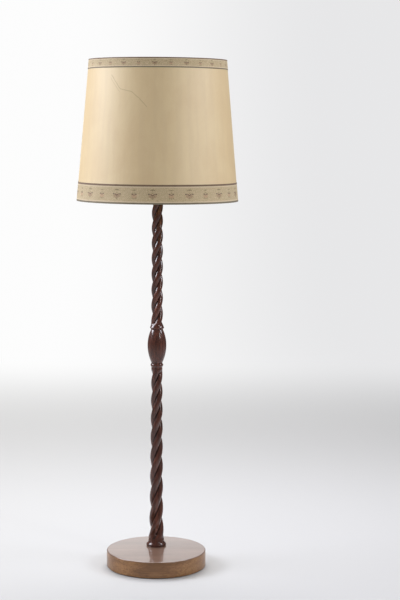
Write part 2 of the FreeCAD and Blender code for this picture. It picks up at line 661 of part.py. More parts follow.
def grub_screw():
    """Slotted set screw that stops the lampholder turning on the tube."""
    length = HOLDER_BOSS_RADIUS - PIPE_RADIUS
    screw = Part.makeCylinder(GRUB_SCREW_RADIUS, length, grub_place(), Vector(0, 1, 0))
    slot_corner = grub_place() + Vector(-GRUB_SCREW_RADIUS, length - GRUB_SLOT_DEPTH, -GRUB_SLOT_WIDTH / 2)
    slot = Part.makeBox(2 * GRUB_SCREW_RADIUS, GRUB_SLOT_DEPTH, GRUB_SLOT_WIDTH, slot_corner)
    return screw.cut(slot)


def contact_block():
    """Insulating block in the cap: rim, room for the switch cam, and seats for the contacts."""
    inner = HOLDER_RADIUS - HOLDER_WALL - GLUE_GAP
    rim = SHELL_BORE_RADIUS - GLUE_GAP
    block = (Outline(0, block_low).line(inner - BLOCK_CHAMFER, block_low)
             .line(inner, block_low + BLOCK_CHAMFER).line(inner, shell_low)
             .line(rim, shell_low).line(rim, block_top)
             .line(0, block_top).turned())
    bore = Part.makeCylinder(SWITCH_SHAFT_RADIUS + RUNNING_GAP, 2 * HOLDER_RADIUS,
                             Vector(-SWITCH_CAM_LENGTH, 0, switch_height), Vector(1, 0, 0))
    room = SWITCH_CAM_SIZE / math.sqrt(2) + MOVING_GAP
    pocket_start = Vector(-SWITCH_CAM_LENGTH / 2 - MOVING_GAP, 0, switch_height)
    pocket = Part.makeCylinder(room, SWITCH_CAM_LENGTH + 2 * MOVING_GAP, pocket_start, Vector(1, 0, 0))
    wire_way = Part.makeBox(2 * room, HOLDER_RADIUS, room + BLOCK_HEIGHT,
                            Vector(-room, -room / 2, switch_height - BLOCK_HEIGHT - room))
    wire_way = wire_way.common(rod(inner - BLOCK_WALL, block_low - OVERCUT, switch_height))
    block = block.cut(bore).cut(pocket).cut(wire_way)
    hole_low = block_top - TERMINAL_SCREW_HEIGHT
    for place in terminal_places():
        block = block.cut(rod(TERMINAL_SCREW_RADIUS + GLUE_GAP, hole_low, block_top + OVERCUT, place))
    return block


def terminal_places():
    return [Vector(0, side * TERMINAL_SPACING / 2, 0) for side in (-1, 1)]


def terminal_screws():
    """Two screws that hold the contact strips to the block."""
    low = block_top - TERMINAL_SCREW_HEIGHT + SEAT_GAP
    head_low = block_top + CONTACT_STRIP_THICKNESS
    head_top = head_low + TERMINAL_HEAD_HEIGHT
    screw = (Outline(0, low).line(TERMINAL_SCREW_RADIUS, low).line(TERMINAL_SCREW_RADIUS, head_low)
             .line(TERMINAL_HEAD_RADIUS, head_low).line(TERMINAL_HEAD_RADIUS, head_top)
             .line(0, head_top).turned())
    screws = []
    for place in terminal_places():
        copy = screw.copy()
        copy.translate(place)
        screws.append(copy)
    return Part.makeCompound(screws)


def centre_contact():
    """Bent spring strip: flat under its screw, a slope, and a raised tongue under the bulb's tip."""
    half = CONTACT_STRIP_WIDTH / 2
    front = -TERMINAL_SPACING / 2 - half
    thick = CONTACT_STRIP_THICKNESS
    top = block_top + CONTACT_LIFT
    tip = front - half + CONTACT_STRIP_LENGTH
    bend = front + 2 * half
    side = [(front, block_top), (bend + SEAT_GAP, block_top), (-CONTACT_TONGUE_START, top - thick),
            (tip, top - thick), (tip, top), (-CONTACT_TONGUE_START - thick / 2, top),
            (bend, block_top + thick), (front, block_top + thick)]
    return contact_strip(side, terminal_places()[0])


def contact_strip(side, place):
    """Strip with the side view given as (y, z) points, and a hole for its screw."""
    wire = Part.makePolygon([Vector(-CONTACT_STRIP_WIDTH / 2, y, z) for y, z in side + side[:1]])
    strip = Part.Face(wire).extrude(Vector(CONTACT_STRIP_WIDTH, 0, 0))
    high = block_top + CONTACT_LIFT + OVERCUT
    return strip.cut(rod(TERMINAL_SCREW_RADIUS + GLUE_GAP, block_top - OVERCUT, high, place))


def side_contact():
    """Strip from the second screw to the screw shell, with its end turned up against the shell."""
    half = CONTACT_STRIP_WIDTH / 2
    thick = CONTACT_STRIP_THICKNESS
    front = TERMINAL_SPACING / 2 - half
    outer = SCREW_SHELL_RADIUS - SCREW_SHELL_WALL - GLUE_GAP
    back = math.sqrt(outer ** 2 - half ** 2)
    high = block_top + 3 * thick
    side = [(front, block_top), (back, block_top), (back, high), (back - thick, high),
            (back - thick, block_top + thick), (front, block_top + thick)]
    return contact_strip(side, terminal_places()[1])


def screw_shell():
    """Brass thread shell that takes the bulb's cap, with a foot flange on the block."""
    inner = SCREW_SHELL_RADIUS - SCREW_SHELL_WALL
    high = block_top + SCREW_SHELL_HEIGHT
    flange = SHELL_BORE_RADIUS - GLUE_GAP
    return (Outline(inner, block_top).line(flange, block_top).line(flange, block_top + SCREW_SHELL_WALL)
            .line(SCREW_SHELL_RADIUS, block_top + SCREW_SHELL_WALL).line(SCREW_SHELL_RADIUS, high)
            .line(inner, high).turned())


def holder_shell():
    """Outer shell of the lampholder, threaded outside for the two shade rings."""
    return (Outline(SHELL_BORE_RADIUS, shell_low).line(HOLDER_RADIUS, shell_low)
            .line(HOLDER_RADIUS, shell_top - SHELL_CHAMFER).line(HOLDER_RADIUS - SHELL_CHAMFER, shell_top)
            .line(SHELL_BORE_RADIUS + SHELL_MOUTH_WIDTH, shell_top)
            .line(SHELL_BORE_RADIUS, shell_top - SHELL_MOUTH_DEPTH).turned())


def shade_ring(low):
    """Knurled ring that screws on the shell."""
    high = low + SHADE_RING_HEIGHT
    ring = tube(SHADE_RING_RADIUS, HOLDER_RADIUS + GLUE_GAP, low, high)
    notch = rod(SHADE_RING_NOTCH_RADIUS, low - OVERCUT, high + OVERCUT, Vector(SHADE_RING_RADIUS, 0, 0))
    return ring.cut(around(notch, SHADE_RING_NOTCHES))


def shade_ring_lower():
    return shade_ring(lower_ring_low)


def shade_ring_upper():
    return shade_ring(upper_ring_low)


# ---------------------------------------------------------------- turn switch
def across(radius, start, end):
    """Cylinder on the axis of the switch."""
    return Part.makeCylinder(radius, end - start, Vector(start, 0, switch_height), Vector(1, 0, 0))


def switch_shaft():
    """Shaft of the turn switch with its square cam inside the block."""
    half = SWITCH_CAM_SIZE / 2
    cam = Part.makeBox(SWITCH_CAM_LENGTH, SWITCH_CAM_SIZE, SWITCH_CAM_SIZE,
                       Vector(-SWITCH_CAM_LENGTH / 2, -half, switch_height - half))
    return across(SWITCH_SHAFT_RADIUS, 0, SWITCH_SHAFT_REACH).fuse(cam)


def switch_knob():
    """Fluted knob on the outer end of the shaft."""
    outer_end = SWITCH_SHAFT_REACH + SWITCH_KNOB_END
    inner_end = outer_end - SWITCH_KNOB_LENGTH
    knob = across(SWITCH_KNOB_RADIUS, inner_end, outer_end)
    knob = knob.makeChamfer(SWITCH_KNOB_CHAMFER, [edge for edge in knob.Edges if edge.Closed])
    knob = knob.cut(across(SWITCH_SHAFT_RADIUS + GLUE_GAP / 2, inner_end - OVERCUT, SWITCH_SHAFT_REACH))
    flute = across(SWITCH_KNOB_FLUTE_RADIUS, inner_end - OVERCUT, outer_end + OVERCUT)
    flute.translate(Vector(0, SWITCH_KNOB_RADIUS, 0))
    centre = Vector(0, 0, switch_height)
    return knob.cut(around(flute, SWITCH_KNOB_FLUTES, centre, Vector(1, 0, 0)))


# ---------------------------------------------------------------- bulb
def bulb_profile(shrink):
    """Glass outline: straight neck, hollow curve and globe, moved inwards by shrink."""
    globe = BULB_RADIUS
    centre = bulb_tip + BULB_LENGTH - globe
    neck = bulb_tip + BULB_NECK_HEIGHT
    rise = centre - neck
    hollow = (BULB_NECK_RADIUS ** 2 + rise ** 2 - globe ** 2) / (2 * (globe - BULB_NECK_RADIUS))
    turn = math.atan2(rise, BULB_NECK_RADIUS + hollow)
    low = bulb_tip + BULB_CAP_TOP - BULB_GLASS_ENTRY
    neck_end = BULB_CAP_RADIUS - BULB_CAP_WALL - GLUE_GAP

    def on_hollow(angle):
        reach = hollow + shrink
        return BULB_NECK_RADIUS + hollow - reach * math.cos(angle), neck + reach * math.sin(angle)

    def on_globe(angle):
        reach = globe - shrink
        return reach * math.cos(angle), centre + reach * math.sin(angle)

    return (Outline(0, low + shrink).line(neck_end - shrink, low + shrink)
            .line(neck_end - shrink, bulb_tip + BULB_CAP_TOP + GLUE_GAP)
            .line(*on_hollow(0)).arc(on_hollow(turn / 2), on_hollow(turn))
            .arc(on_globe(math.pi / 8), on_globe(math.pi / 2)))


def bulb_glass():
    return bulb_profile(0).turned().cut(bulb_profile(BULB_GLASS_WALL).turned())


def bulb_cap():
    """Screw cap of the bulb, a thin shell with a rolled upper rim."""
    low = bulb_tip + BULB_CAP_LOW
    high = bulb_tip + BULB_CAP_TOP
    inner = BULB_CAP_RADIUS - BULB_CAP_WALL
    return tube(BULB_CAP_RADIUS, inner, low, high)


def bulb_insulator():
    """Glass insulator under the cap, round the tip contact."""
    low = bulb_tip + BULB_TIP_HEIGHT
    cap_low = bulb_tip + BULB_CAP_LOW
    return (Outline(0, low).line(BULB_TIP_RADIUS + INSULATOR_MARGIN, low)
            .line(BULB_TIP_RIM_RADIUS, cap_low - BULB_TIP_RIM_DROP)
            .line(BULB_CAP_RADIUS - INSULATOR_MARGIN, cap_low).line(0, cap_low).turned())


def bulb_contact():
    return (Outline(0, bulb_tip).line(BULB_TIP_RADIUS - BULB_TIP_CHAMFER, bulb_tip)
            .line(BULB_TIP_RADIUS, bulb_tip + BULB_TIP_HEIGHT).line(0, bulb_tip + BULB_TIP_HEIGHT).turned())


def bulb_mount():
    """Glass rod that stands in the neck and carries the filament's supports."""
    low = bulb_tip + BULB_CAP_TOP - BULB_GLASS_ENTRY + BULB_GLASS_WALL
    top = bulb_tip + FILAMENT_HEIGHT - FILAMENT_LEGS - 2 * FILAMENT_WIRE
    foot = BULB_CAP_RADIUS - BULB_CAP_WALL - BULB_GLASS_WALL - 2 * GLUE_GAP
    return (Outline(0, low).line(foot, low).line(foot, low + MOUNT_FOOT_THICKNESS)
            .line(MOUNT_ROD_RADIUS, low + MOUNT_FLARE_HEIGHT)
            .line(MOUNT_ROD_RADIUS, top).line(0, top).turned())


def bulb_filament():
    """Coiled filament bent to an arc, with its two lead wires down to the mount."""
    height = bulb_tip + FILAMENT_HEIGHT
    ends = [Vector(side * FILAMENT_RADIUS, 0, height) for side in (-1, 1)]
    centre = Vector(0, 0, height)
    ring = Part.makeTorus(FILAMENT_RADIUS, FILAMENT_WIRE, centre, Vector(0, 0, 1), 0, 360, 180)
    wires = []
    for end in ends:
        foot = Vector(math.copysign(MOUNT_ROD_RADIUS - FILAMENT_WIRE, end.x), 0, height - FILAMENT_LEGS)
        wires.append(Part.makeCylinder(FILAMENT_WIRE, (end - foot).Length, foot, end - foot))
    return ring.fuse(wires)


# ---------------------------------------------------------------- shade
def skin_radius(height):
    """Outer radius of the skin: the shade's outside, less the trim that lies on it."""
    share = (height - SHADE_LOW) / SHADE_HEIGHT
    outside = SHADE_BOTTOM_RADIUS + (SHADE_TOP_RADIUS - SHADE_BOTTOM_RADIUS) * share
    return outside - TRIM_THICKNESS - GLUE_GAP


def cone_band(outer, inner, low, high):
    """Band between two offsets from the outside of the skin, from one level to another."""
    return (Outline(skin_radius(low) + inner, low).line(skin_radius(low) + outer, low)
            .line(skin_radius(high) + outer, high).line(skin_radius(high) + inner, high).turned())


def shade_skin():
    """Tapered drum of stiff parchment, with its lapped seam inside at the back."""
    skin = cone_band(0, -SHADE_SKIN, SHADE_LOW, shade_top)
    wire_room = FRAME_WIRE_INSET + 2 * FRAME_WIRE_RADIUS + SEAM_END_GAP
    lap = cone_band(-SHADE_SKIN, -SHADE_SKIN - SEAM_THICKNESS, SHADE_LOW + wire_room, shade_top - wire_room)
    strip_corner = Vector(-SEAM_WIDTH / 2, 0, SHADE_LOW)
    strip = Part.makeBox(SEAM_WIDTH, SHADE_BOTTOM_RADIUS, SHADE_HEIGHT, strip_corner)
    return skin.fuse(lap.common(strip))


def bottom_trim():
    return cone_band(GLUE_GAP + TRIM_THICKNESS, GLUE_GAP, SHADE_LOW, SHADE_LOW + BOTTOM_TRIM_HEIGHT)


def top_trim():
    return cone_band(GLUE_GAP + TRIM_THICKNESS, GLUE_GAP, shade_top - TOP_TRIM_HEIGHT, shade_top)


def wire_centre(height):
    return skin_radius(height) - SHADE_SKIN - GLUE_GAP - FRAME_WIRE_RADIUS


def wire_ring(height):
    """Frame ring of round wire inside the skin, drawn with a regular section of flats."""
    corner = FRAME_WIRE_RADIUS / math.cos(math.pi / FRAME_WIRE_SIDES)
    centre = wire_centre(height)
    ring = None
    for side in range(FRAME_WIRE_SIDES + 1):
        turn = 2 * math.pi * (side + 0.5) / FRAME_WIRE_SIDES
        place = (centre + corner * math.cos(turn), height + corner * math.sin(turn))
        ring = ring.line(*place) if ring else Outline(*place)
    return ring.turned()


def shade_bottom_ring():
    return wire_ring(bottom_ring_height())


def bottom_ring_height():
    return SHADE_LOW + FRAME_WIRE_INSET + FRAME_WIRE_RADIUS


def shade_top_ring():
    return wire_ring(shade_top - FRAME_WIRE_INSET - FRAME_WIRE_RADIUS)


def fitter_ring():
    return tube(FITTER_RADIUS, FITTER_BORE_RADIUS, fitter_low, fitter_low + FITTER_THICKNESS)


def fitter_arms():
    """Wire arms from the fitter ring down and out to the shade's lower ring, bent flat at each end."""
    height = fitter_low - ARM_RADIUS
    inner = FITTER_RADIUS - ARM_RADIUS
    reach = wire_centre(bottom_ring_height()) - FRAME_WIRE_RADIUS - GLUE_GAP
    low = bottom_ring_height()
    bend_in = inner + ARM_FLAT_END
    bend_out = reach - ARM_FLAT_END
    path = [Vector(SHADE_RING_RADIUS + MOVING_GAP, 0, height), Vector(bend_in, 0, height),
            Vector(bend_out, 0, low), Vector(reach, 0, low)]
    arm = None
    for start, end in zip(path, path[1:]):
        leg = Part.makeCylinder(ARM_RADIUS, (end - start).Length, start, end - start)
        arm = leg if arm is None else arm.fuse([leg, Part.makeSphere(ARM_RADIUS, start)])
    return Part.makeCompound(around(arm, ARM_COUNT, first=90.0))


# ---------------------------------------------------------------- every node, written out
PIECES = [base_disc, base_weight, weight_screws, base_felt, cord_bush, pipe_washer, base_nut, threaded_pipe,
          stem_lower, stem_knop, stem_upper, brass_cup, top_nut, neck_sleeve,
          holder_cap, grub_screw, contact_block, terminal_screws, centre_contact, side_contact, screw_shell,
          holder_shell, shade_ring_lower, shade_ring_upper, switch_shaft, switch_knob,
          bulb_glass, bulb_cap, bulb_insulator, bulb_contact, bulb_mount, bulb_filament,
          shade_skin, bottom_trim, top_trim, shade_bottom_ring, shade_top_ring, fitter_ring, fitter_arms]

os.makedirs("parts", exist_ok=True)
for piece in PIECES:
    shape = piece()
    shape.exportStep(f"parts/{piece.__name__}.step")
    print(f"{piece.__name__:20s} solids {len(shape.Solids)}  volume {shape.Volume:12.1f}  "
          f"valid {shape.isValid()}")
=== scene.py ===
"""Looks of a candlestick floor lamp: rope-twist stem, round wooden base and a parchment drum shade.

Metres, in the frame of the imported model.  The lamp is built up from the floor, one section to a piece.
"""
import math

import bmesh
import bpy
import numpy as np
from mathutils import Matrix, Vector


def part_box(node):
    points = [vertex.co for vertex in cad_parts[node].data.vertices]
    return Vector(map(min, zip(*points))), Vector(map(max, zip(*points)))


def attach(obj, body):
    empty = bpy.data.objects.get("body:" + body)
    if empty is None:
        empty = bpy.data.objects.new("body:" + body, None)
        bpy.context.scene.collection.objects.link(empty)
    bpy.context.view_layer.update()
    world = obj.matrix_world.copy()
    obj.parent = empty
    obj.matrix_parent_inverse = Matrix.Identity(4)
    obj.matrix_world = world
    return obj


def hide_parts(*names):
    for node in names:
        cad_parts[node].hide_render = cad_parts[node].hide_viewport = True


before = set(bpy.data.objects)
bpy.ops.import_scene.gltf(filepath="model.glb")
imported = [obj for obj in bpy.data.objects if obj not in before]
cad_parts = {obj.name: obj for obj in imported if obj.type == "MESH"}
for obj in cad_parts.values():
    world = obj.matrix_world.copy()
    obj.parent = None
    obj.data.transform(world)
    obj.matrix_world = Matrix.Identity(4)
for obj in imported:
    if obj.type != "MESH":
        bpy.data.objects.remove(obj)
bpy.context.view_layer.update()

# ---------------------------------------------------------------- base disc
# A disc of solid wood, 310 mm across and 50 mm thick, turned on a faceplate with a rounded upper arris.
# It is pocketed below for the ballast, stained brown and varnished to a high gloss on top.
ARRIS_ROUND = 0.003
BOTTOM_CHAMFER = 0.0015
ROUND_STEPS = 8             # points in the quarter round of an arris
DISC_SIDES = 192
PIN_SIDES = 48
POCKET_RADIUS = 0.120
POCKET_DEPTH = 0.020
SOCKET_RADIUS = 0.0126      # for the stem's tenon
SOCKET_DEPTH = 0.0225
TUBE_BORE = 0.0056
BUSH_HOLE_RADIUS = 0.0051
BUSH_SEAT_RADIUS = 0.0081
BUSH_AXIS_HEIGHT = 0.014
PILOT_RADIUS = 0.0025       # for the screws of the ballast
PILOT_CIRCLE = 0.092
PILOT_TOP = 0.0355
OVERCUT = 0.001             # how far a cutter runs past the face that it cuts
DOUBLE = 1e-6               # points closer than this are one
SHARP_ANGLE = math.radians(35.0)


def surface(name, points, wrap_rows=False, uv=None, groove=None):
    """Mesh object over a grid of points (rows x columns x 3), closed round its columns.

    wrap_rows joins the last row to the first.  uv is the u of each column line and the v of each row line.
    groove is a value for each point, kept as an attribute.  Rows that shrink to one point are merged into
    a pole.  With rows running upwards the faces look outwards.
    """
    rows, columns = points.shape[:2]
    index = np.arange(rows * columns).reshape(rows, columns)
    lower = index if wrap_rows else index[:-1]
    upper = np.roll(index, -1, 0) if wrap_rows else index[1:]
    quads = np.stack([lower, np.roll(lower, -1, 1), np.roll(upper, -1, 1), upper], -1).reshape(-1, 4)
    mesh = bpy.data.meshes.new(name)
    mesh.from_pydata(points.reshape(-1, 3), [], quads)
    if uv is not None:
        grid = np.stack(np.meshgrid(*uv), -1)
        loops = np.stack([grid[:-1, :-1], grid[:-1, 1:], grid[1:, 1:], grid[1:, :-1]], 2)
        mesh.uv_layers.new(name="surface_uv").data.foreach_set("uv", loops.reshape(-1).astype(np.float32))
    if groove is not None:
        mesh.attributes.new("groove", "FLOAT", "POINT").data.foreach_set("value", groove.reshape(-1))
    return closed(name, mesh)


def smoothed(mesh):
    """Shades a mesh smooth but for its sharp edges."""
    mesh.shade_smooth()
    mesh.set_sharp_from_angle(angle=SHARP_ANGLE)


def closed(name, mesh, flats=None):
    """Smooth object of a mesh with its doubles merged, and with faces joined that meet within flats."""
    work = bmesh.new()
    work.from_mesh(mesh)
    bmesh.ops.remove_doubles(work, verts=work.verts, dist=DOUBLE)
    if flats:
        bmesh.ops.dissolve_limit(work, angle_limit=flats, verts=work.verts, edges=work.edges)
    work.to_mesh(mesh)
    work.free()
    smoothed(mesh)
    piece = bpy.data.objects.new(name, mesh)
    bpy.context.scene.collection.objects.link(piece)
    return piece


def placed(piece, body, node, material):
    """Gives a piece its material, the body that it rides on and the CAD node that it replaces."""
    piece.data.materials.append(material)
    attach(piece, body)
    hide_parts(node)


def box_radius(node):
    """Half the width of a CAD node."""
    low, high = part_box(node)
    return (high.x - low.x) / 2


def around(count):
    """Angles of points spaced evenly round a circle."""
    return np.linspace(0, math.tau, count, endpoint=False)


def polar(radius, angle, height):
    """Points about the Z axis.  The three are spread over one another."""
    radius, angle, height = np.broadcast_arrays(radius, angle, height)
    return np.stack([radius * np.cos(angle), radius * np.sin(angle), height], -1)


def unit(vectors):
    """Vectors scaled to a length of one."""
    return vectors / np.linalg.norm(vectors, axis=-1, keepdims=True)


def arc(start, via, end):
    """Points of the circle through three (radius, height) points, after start and up to end."""
    (ax, ay), (bx, by), (cx, cy) = start, via, end
    double = 2 * (ax * (by - cy) + bx * (cy - ay) + cx * (ay - by))
    squares = [x * x + y * y for x, y in (start, via, end)]
    x0 = (squares[0] * (by - cy) + squares[1] * (cy - ay) + squares[2] * (ay - by)) / double
    y0 = (squares[0] * (cx - bx) + squares[1] * (ax - cx) + squares[2] * (bx - ax)) / double
    first, middle, last = (math.atan2(y - y0, x - x0) for x, y in (start, via, end))
    sense = 1 if (middle - first) % math.tau < (last - first) % math.tau else -1
    sweep = sense * ((sense * (last - first)) % math.tau)
    turns = first + sweep * np.arange(1, ROUND_STEPS + 1) / ROUND_STEPS
    reach = math.hypot(ax - x0, ay - y0)
    return [(x0 + reach * math.cos(turn), y0 + reach * math.sin(turn)) for turn in turns]


def bulge(start, end, rise):
    """Arc from start to end that stands out by rise from its chord, to the right of its path."""
    run, climb = end[0] - start[0], end[1] - start[1]
    length = math.hypot(run, climb)
    middle = ((start[0] + end[0]) / 2 + climb / length * rise,
              (start[1] + end[1]) / 2 - run / length * rise)
    return arc(start, middle, end)


def lathe(name, profile, centre=(0.0, 0.0), sides=96):
    """Turned piece: a closed outline of (radius, height) points carried round an upright axis.

    The outline runs out along the bottom, up the outside and back in along the top, so that the faces
    look outwards.  It starts and ends on the axis, or closes on itself round a bore.
    """
    radius, height = np.array(profile).T[:, :, None]
    points = polar(radius, around(sides), height) + (*centre, 0.0)
    return surface(name, points, wrap_rows=profile[0][0] > 0)


def pin(name, radius, start, end):
    """Round cutter between two points: a circle at each end, carried along the line between them."""
    start, end = np.array(start), np.array(end)
    along = unit(end - start)
    side = unit(np.cross(along, [1.0, 0.0, 0.0] if abs(along[0]) < 0.5 else [0.0, 0.0, 1.0]))
    angle = around(PIN_SIDES)[:, None]
    ring = radius * (np.cos(angle) * side + np.sin(angle) * np.cross(along, side))
    return surface(name, np.stack([start + ring * 0, start + ring, end + ring, end + ring * 0]))


def cut(piece, cutters):
    """Takes the cutters out of a piece and deletes them."""
    for cutter in cutters:
        hole = piece.modifiers.new("hole", "BOOLEAN")
        hole.operation, hole.solver, hole.object = "DIFFERENCE", "EXACT", cutter
    shown = bpy.context.evaluated_depsgraph_get()
    mesh = bpy.data.meshes.new_from_object(piece.evaluated_get(shown))
    piece.modifiers.clear()
    piece.data = mesh
    for cutter in cutters:
        bpy.data.objects.remove(cutter)
    smoothed(mesh)


def operator(operation, turned=False):
    """Method that adds a Math node for an operator, with its two values the other way round if turned."""
    def method(self, other):
        return self.finish.math(operation, *((other, self) if turned else (self, other)))
    return method


class Term:
    """An output socket in an expression: the operators on values add Math nodes."""

    __add__ = __radd__ = operator("ADD")
    __mul__ = __rmul__ = operator("MULTIPLY")
    __sub__, __rsub__ = operator("SUBTRACT"), operator("SUBTRACT", turned=True)
    __truediv__ = operator("DIVIDE")

    def __init__(self, finish, socket):
        self.finish, self.socket = finish, socket

    def __abs__(self):
        return self.finish.math("ABSOLUTE", self)


def colour_of(value):
    """Colour for a socket: a display colour 0xRRGGBB made linear, or linear red, green and blue."""
    if isinstance(value, int):
        display = [(value >> shift & 255) / 255 for shift in (16, 8, 0)]
        value = tuple(v / 12.92 if v <= 10 / 255 else ((v + 0.055) / 1.055) ** 2.4 for v in display)
    return (*value, 1.0) if isinstance(value, tuple) else value


class Finish:
    """A finish built from shader nodes: colours, roughness and relief worked out over the surface."""

    def __init__(self, name):
        self.material = bpy.data.materials.new(name)
        self.material.use_nodes = True
        self.tree = self.material.node_tree
        self.tree.nodes.clear()
        place = self.node("ShaderNodeTexCoord")
        self.place = Term(self, place.outputs["Object"])
        self.uv = Term(self, place.outputs["UV"])

    def node(self, kind, inputs=None, **settings):
        """Adds a node: its settings first, then a value or a link for each named or numbered socket."""
        made = self.tree.nodes.new(kind)
        for name, value in settings.items():
            setattr(made, name, value)
        for key, value in (inputs or {}).items():
            if isinstance(value, Term):
                self.tree.links.new(value.socket, made.inputs[key])
            else:
                made.inputs[key].default_value = value
        return made

    def math(self, operation, *values):
        """Result of a Math node over values and terms."""
        made = self.node("ShaderNodeMath", dict(enumerate(values)), operation=operation)
        return Term(self, made.outputs[0])

    def noise(self, scale, detail=3.0, roughness=0.55, distortion=0.0):
        """Noise over the place on the piece.  Three scales, one for each axis, draw it out into streaks."""
        vector = self.place
        if isinstance(scale, tuple):
            drawn = self.node("ShaderNodeVectorMath", {0: vector, 1: scale}, operation="MULTIPLY")
            vector, scale = Term(self, drawn.outputs[0]), 1.0
        made = self.node("ShaderNodeTexNoise", {"Vector": vector, "Scale": scale, "Detail": detail,
                                                "Roughness": roughness, "Distortion": distortion})
        return Term(self, made.outputs["Fac"])

    def step(self, value, low, high):
        """0 below low, 1 above high, and smooth between them."""
        made = self.node("ShaderNodeMapRange", {"Value": value, "From Min": low, "From Max": high},
                         interpolation_type="SMOOTHSTEP")
        return Term(self, made.outputs[0])

    def parts(self, vector):
        """The x, y and z of a vector."""
        made = self.node("ShaderNodeSeparateXYZ", {0: vector})
        return [Term(self, socket) for socket in made.outputs]

    def mix(self, share, first, second, blend="MIX"):
        """Colour between two colours, by a share from 0 to 1."""
        made = self.node("ShaderNodeMix", {0: share, 6: colour_of(first), 7: colour_of(second)},
                         data_type="RGBA", blend_type=blend)
        return Term(self, made.outputs[2])

    def relief(self, height, distance, strength=1.0):
        """Normal of a surface raised by height times distance."""
        made = self.node("ShaderNodeBump", {"Height": height, "Distance": distance, "Strength": strength})
        return Term(self, made.outputs[0])

    def done(self, colour, roughness, normal=None, **fixed):
        """Closes the finish with its shader.  fixed are the shader's constant sockets, _ for a space."""
        inputs = {"Base Color": colour_of(colour), "Roughness": roughness}
        if normal is not None:
            inputs["Normal"] = normal
        inputs.update({name.replace("_", " "): value for name, value in fixed.items()})
        shader = self.node("ShaderNodeBsdfPrincipled", inputs)
        output = self.node("ShaderNodeOutputMaterial")
        self.tree.links.new(shader.outputs[0], output.inputs[0])
        return self.material


disc_low, disc_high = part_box("base_disc")


def base_varnish():
    """Brown stained wood, grain along X, with dark pores, a few broad bands and a clear glossy coat; the top
    has a painted reflection.
    """
    wood = Finish("base_wood")
    bands = wood.noise((1.6, 22.0, 34.0), 4.0, 0.6, 0.4)
    streaks = wood.noise((7.0, 260.0, 320.0), 3.0, 0.65)
    pores = wood.step(wood.noise((26.0, 900.0, 1100.0), 2.0, 0.5), 0.60, 0.72)
    height = wood.parts(wood.place)[2]
    polish_and_painted_reflection = wood.step(height, disc_high.z - ARRIS_ROUND, disc_high.z - ARRIS_ROUND / 4)
    colour = wood.mix(wood.step(bands, 0.32, 0.68), 0x7a5432, 0xa4784c)
    # Painted reflection: the top gets a greyer, pinker copy of the stain with fewer streaks, standing in for
    # the pale room mirrored in its gloss.
    painted_reflection_colour = wood.mix(wood.step(bands, 0.30, 0.70), 0x7a6052, 0x8a6e60)
    colour = wood.mix(polish_and_painted_reflection, colour, painted_reflection_colour)
    streaked = wood.step(streaks, 0.38, 0.70) * (0.60 - polish_and_painted_reflection * 0.35)
    colour = wood.mix(streaked, colour, 0x5e3e26)
    colour = wood.mix(pores * 0.5, colour, 0x3c2418)
    wear = wood.noise(9.0, 4.0, 0.6)
    normal = wood.relief(streaks * 0.6 + pores * -0.4, 0.00025, 0.35)
    return wood.done(colour, 0.24 + wear * 0.16, normal, Coat_Weight=polish_and_painted_reflection * 0.8 + 0.2,
                     Coat_Roughness=0.08, Coat_IOR=1.8, Specular_IOR_Level=0.3)


disc_centre = ((disc_low.x + disc_high.x) / 2, (disc_low.y + disc_high.y) / 2)
disc_radius = box_radius("base_disc")
pocket_top = disc_low.z + POCKET_DEPTH
cut_off = ARRIS_ROUND * (1 - math.sqrt(0.5))
round_start = (disc_radius, disc_high.z - ARRIS_ROUND)
round_way = (disc_radius - cut_off, disc_high.z - cut_off)
round_end = (disc_radius - ARRIS_ROUND, disc_high.z)
disc_profile = [(0, pocket_top), (POCKET_RADIUS, pocket_top), (POCKET_RADIUS, disc_low.z),
                (disc_radius - BOTTOM_CHAMFER, disc_low.z), (disc_radius, disc_low.z + BOTTOM_CHAMFER),
                round_start, *arc(round_start, round_way, round_end), (0, disc_high.z)]
base = lathe("base_disc_turned", disc_profile, disc_centre, DISC_SIDES)
bush_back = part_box("cord_bush")[1].y
bush_seat = disc_centre[1] + math.sqrt(disc_radius ** 2 - BUSH_SEAT_RADIUS ** 2)
cutters = [
    pin("socket", SOCKET_RADIUS, (0, 0, disc_high.z - SOCKET_DEPTH), (0, 0, disc_high.z + OVERCUT)),
    pin("bore", TUBE_BORE, (0, 0, pocket_top - OVERCUT), (0, 0, disc_high.z - SOCKET_DEPTH + OVERCUT)),
    pin("lead_hole", BUSH_HOLE_RADIUS, (0, disc_centre[1] + POCKET_RADIUS - SOCKET_RADIUS, BUSH_AXIS_HEIGHT),
        (0, bush_back, BUSH_AXIS_HEIGHT)),
    pin("bush_seat", BUSH_SEAT_RADIUS, (0, bush_seat, BUSH_AXIS_HEIGHT), (0, bush_back, BUSH_AXIS_HEIGHT)),
]
for turn in np.radians([45, 135, 225, 315]):
    place = (disc_centre[0] + PILOT_CIRCLE * math.cos(turn), disc_centre[1] + PILOT_CIRCLE * math.sin(turn))
    cutters.append(pin("pilot", PILOT_RADIUS, (*place, pocket_top - OVERCUT), (*place, PILOT_TOP)))
cut(base, cutters)
placed(base, "stand", "base_disc", base_varnish())

# ---------------------------------------------------------------- ballast, its screws, tube, washer and nut
# A cast-iron disc fills the pocket and is held by four countersunk wood screws.  The threaded steel tube
# hangs in a washer and a hexagon nut at its centre, and clamps the whole stem.
THIN_EDGE = 0.0001          # eased edges: of contacts and small screws,
FINE_EDGE = 0.0002          # of turned metal,
SOFT_EDGE = 0.0003          # of mouldings,
FULL_EDGE = 0.0004          # of the bush and the fitter,
CAST_EDGE = 0.0006          # and of the casting
FLAT_ANGLE = math.radians(0.5)
EASED_ANGLE = math.radians(40.0)
THREAD_SIDES = 32
THREAD_ROWS = 4             # rows of points in one pitch


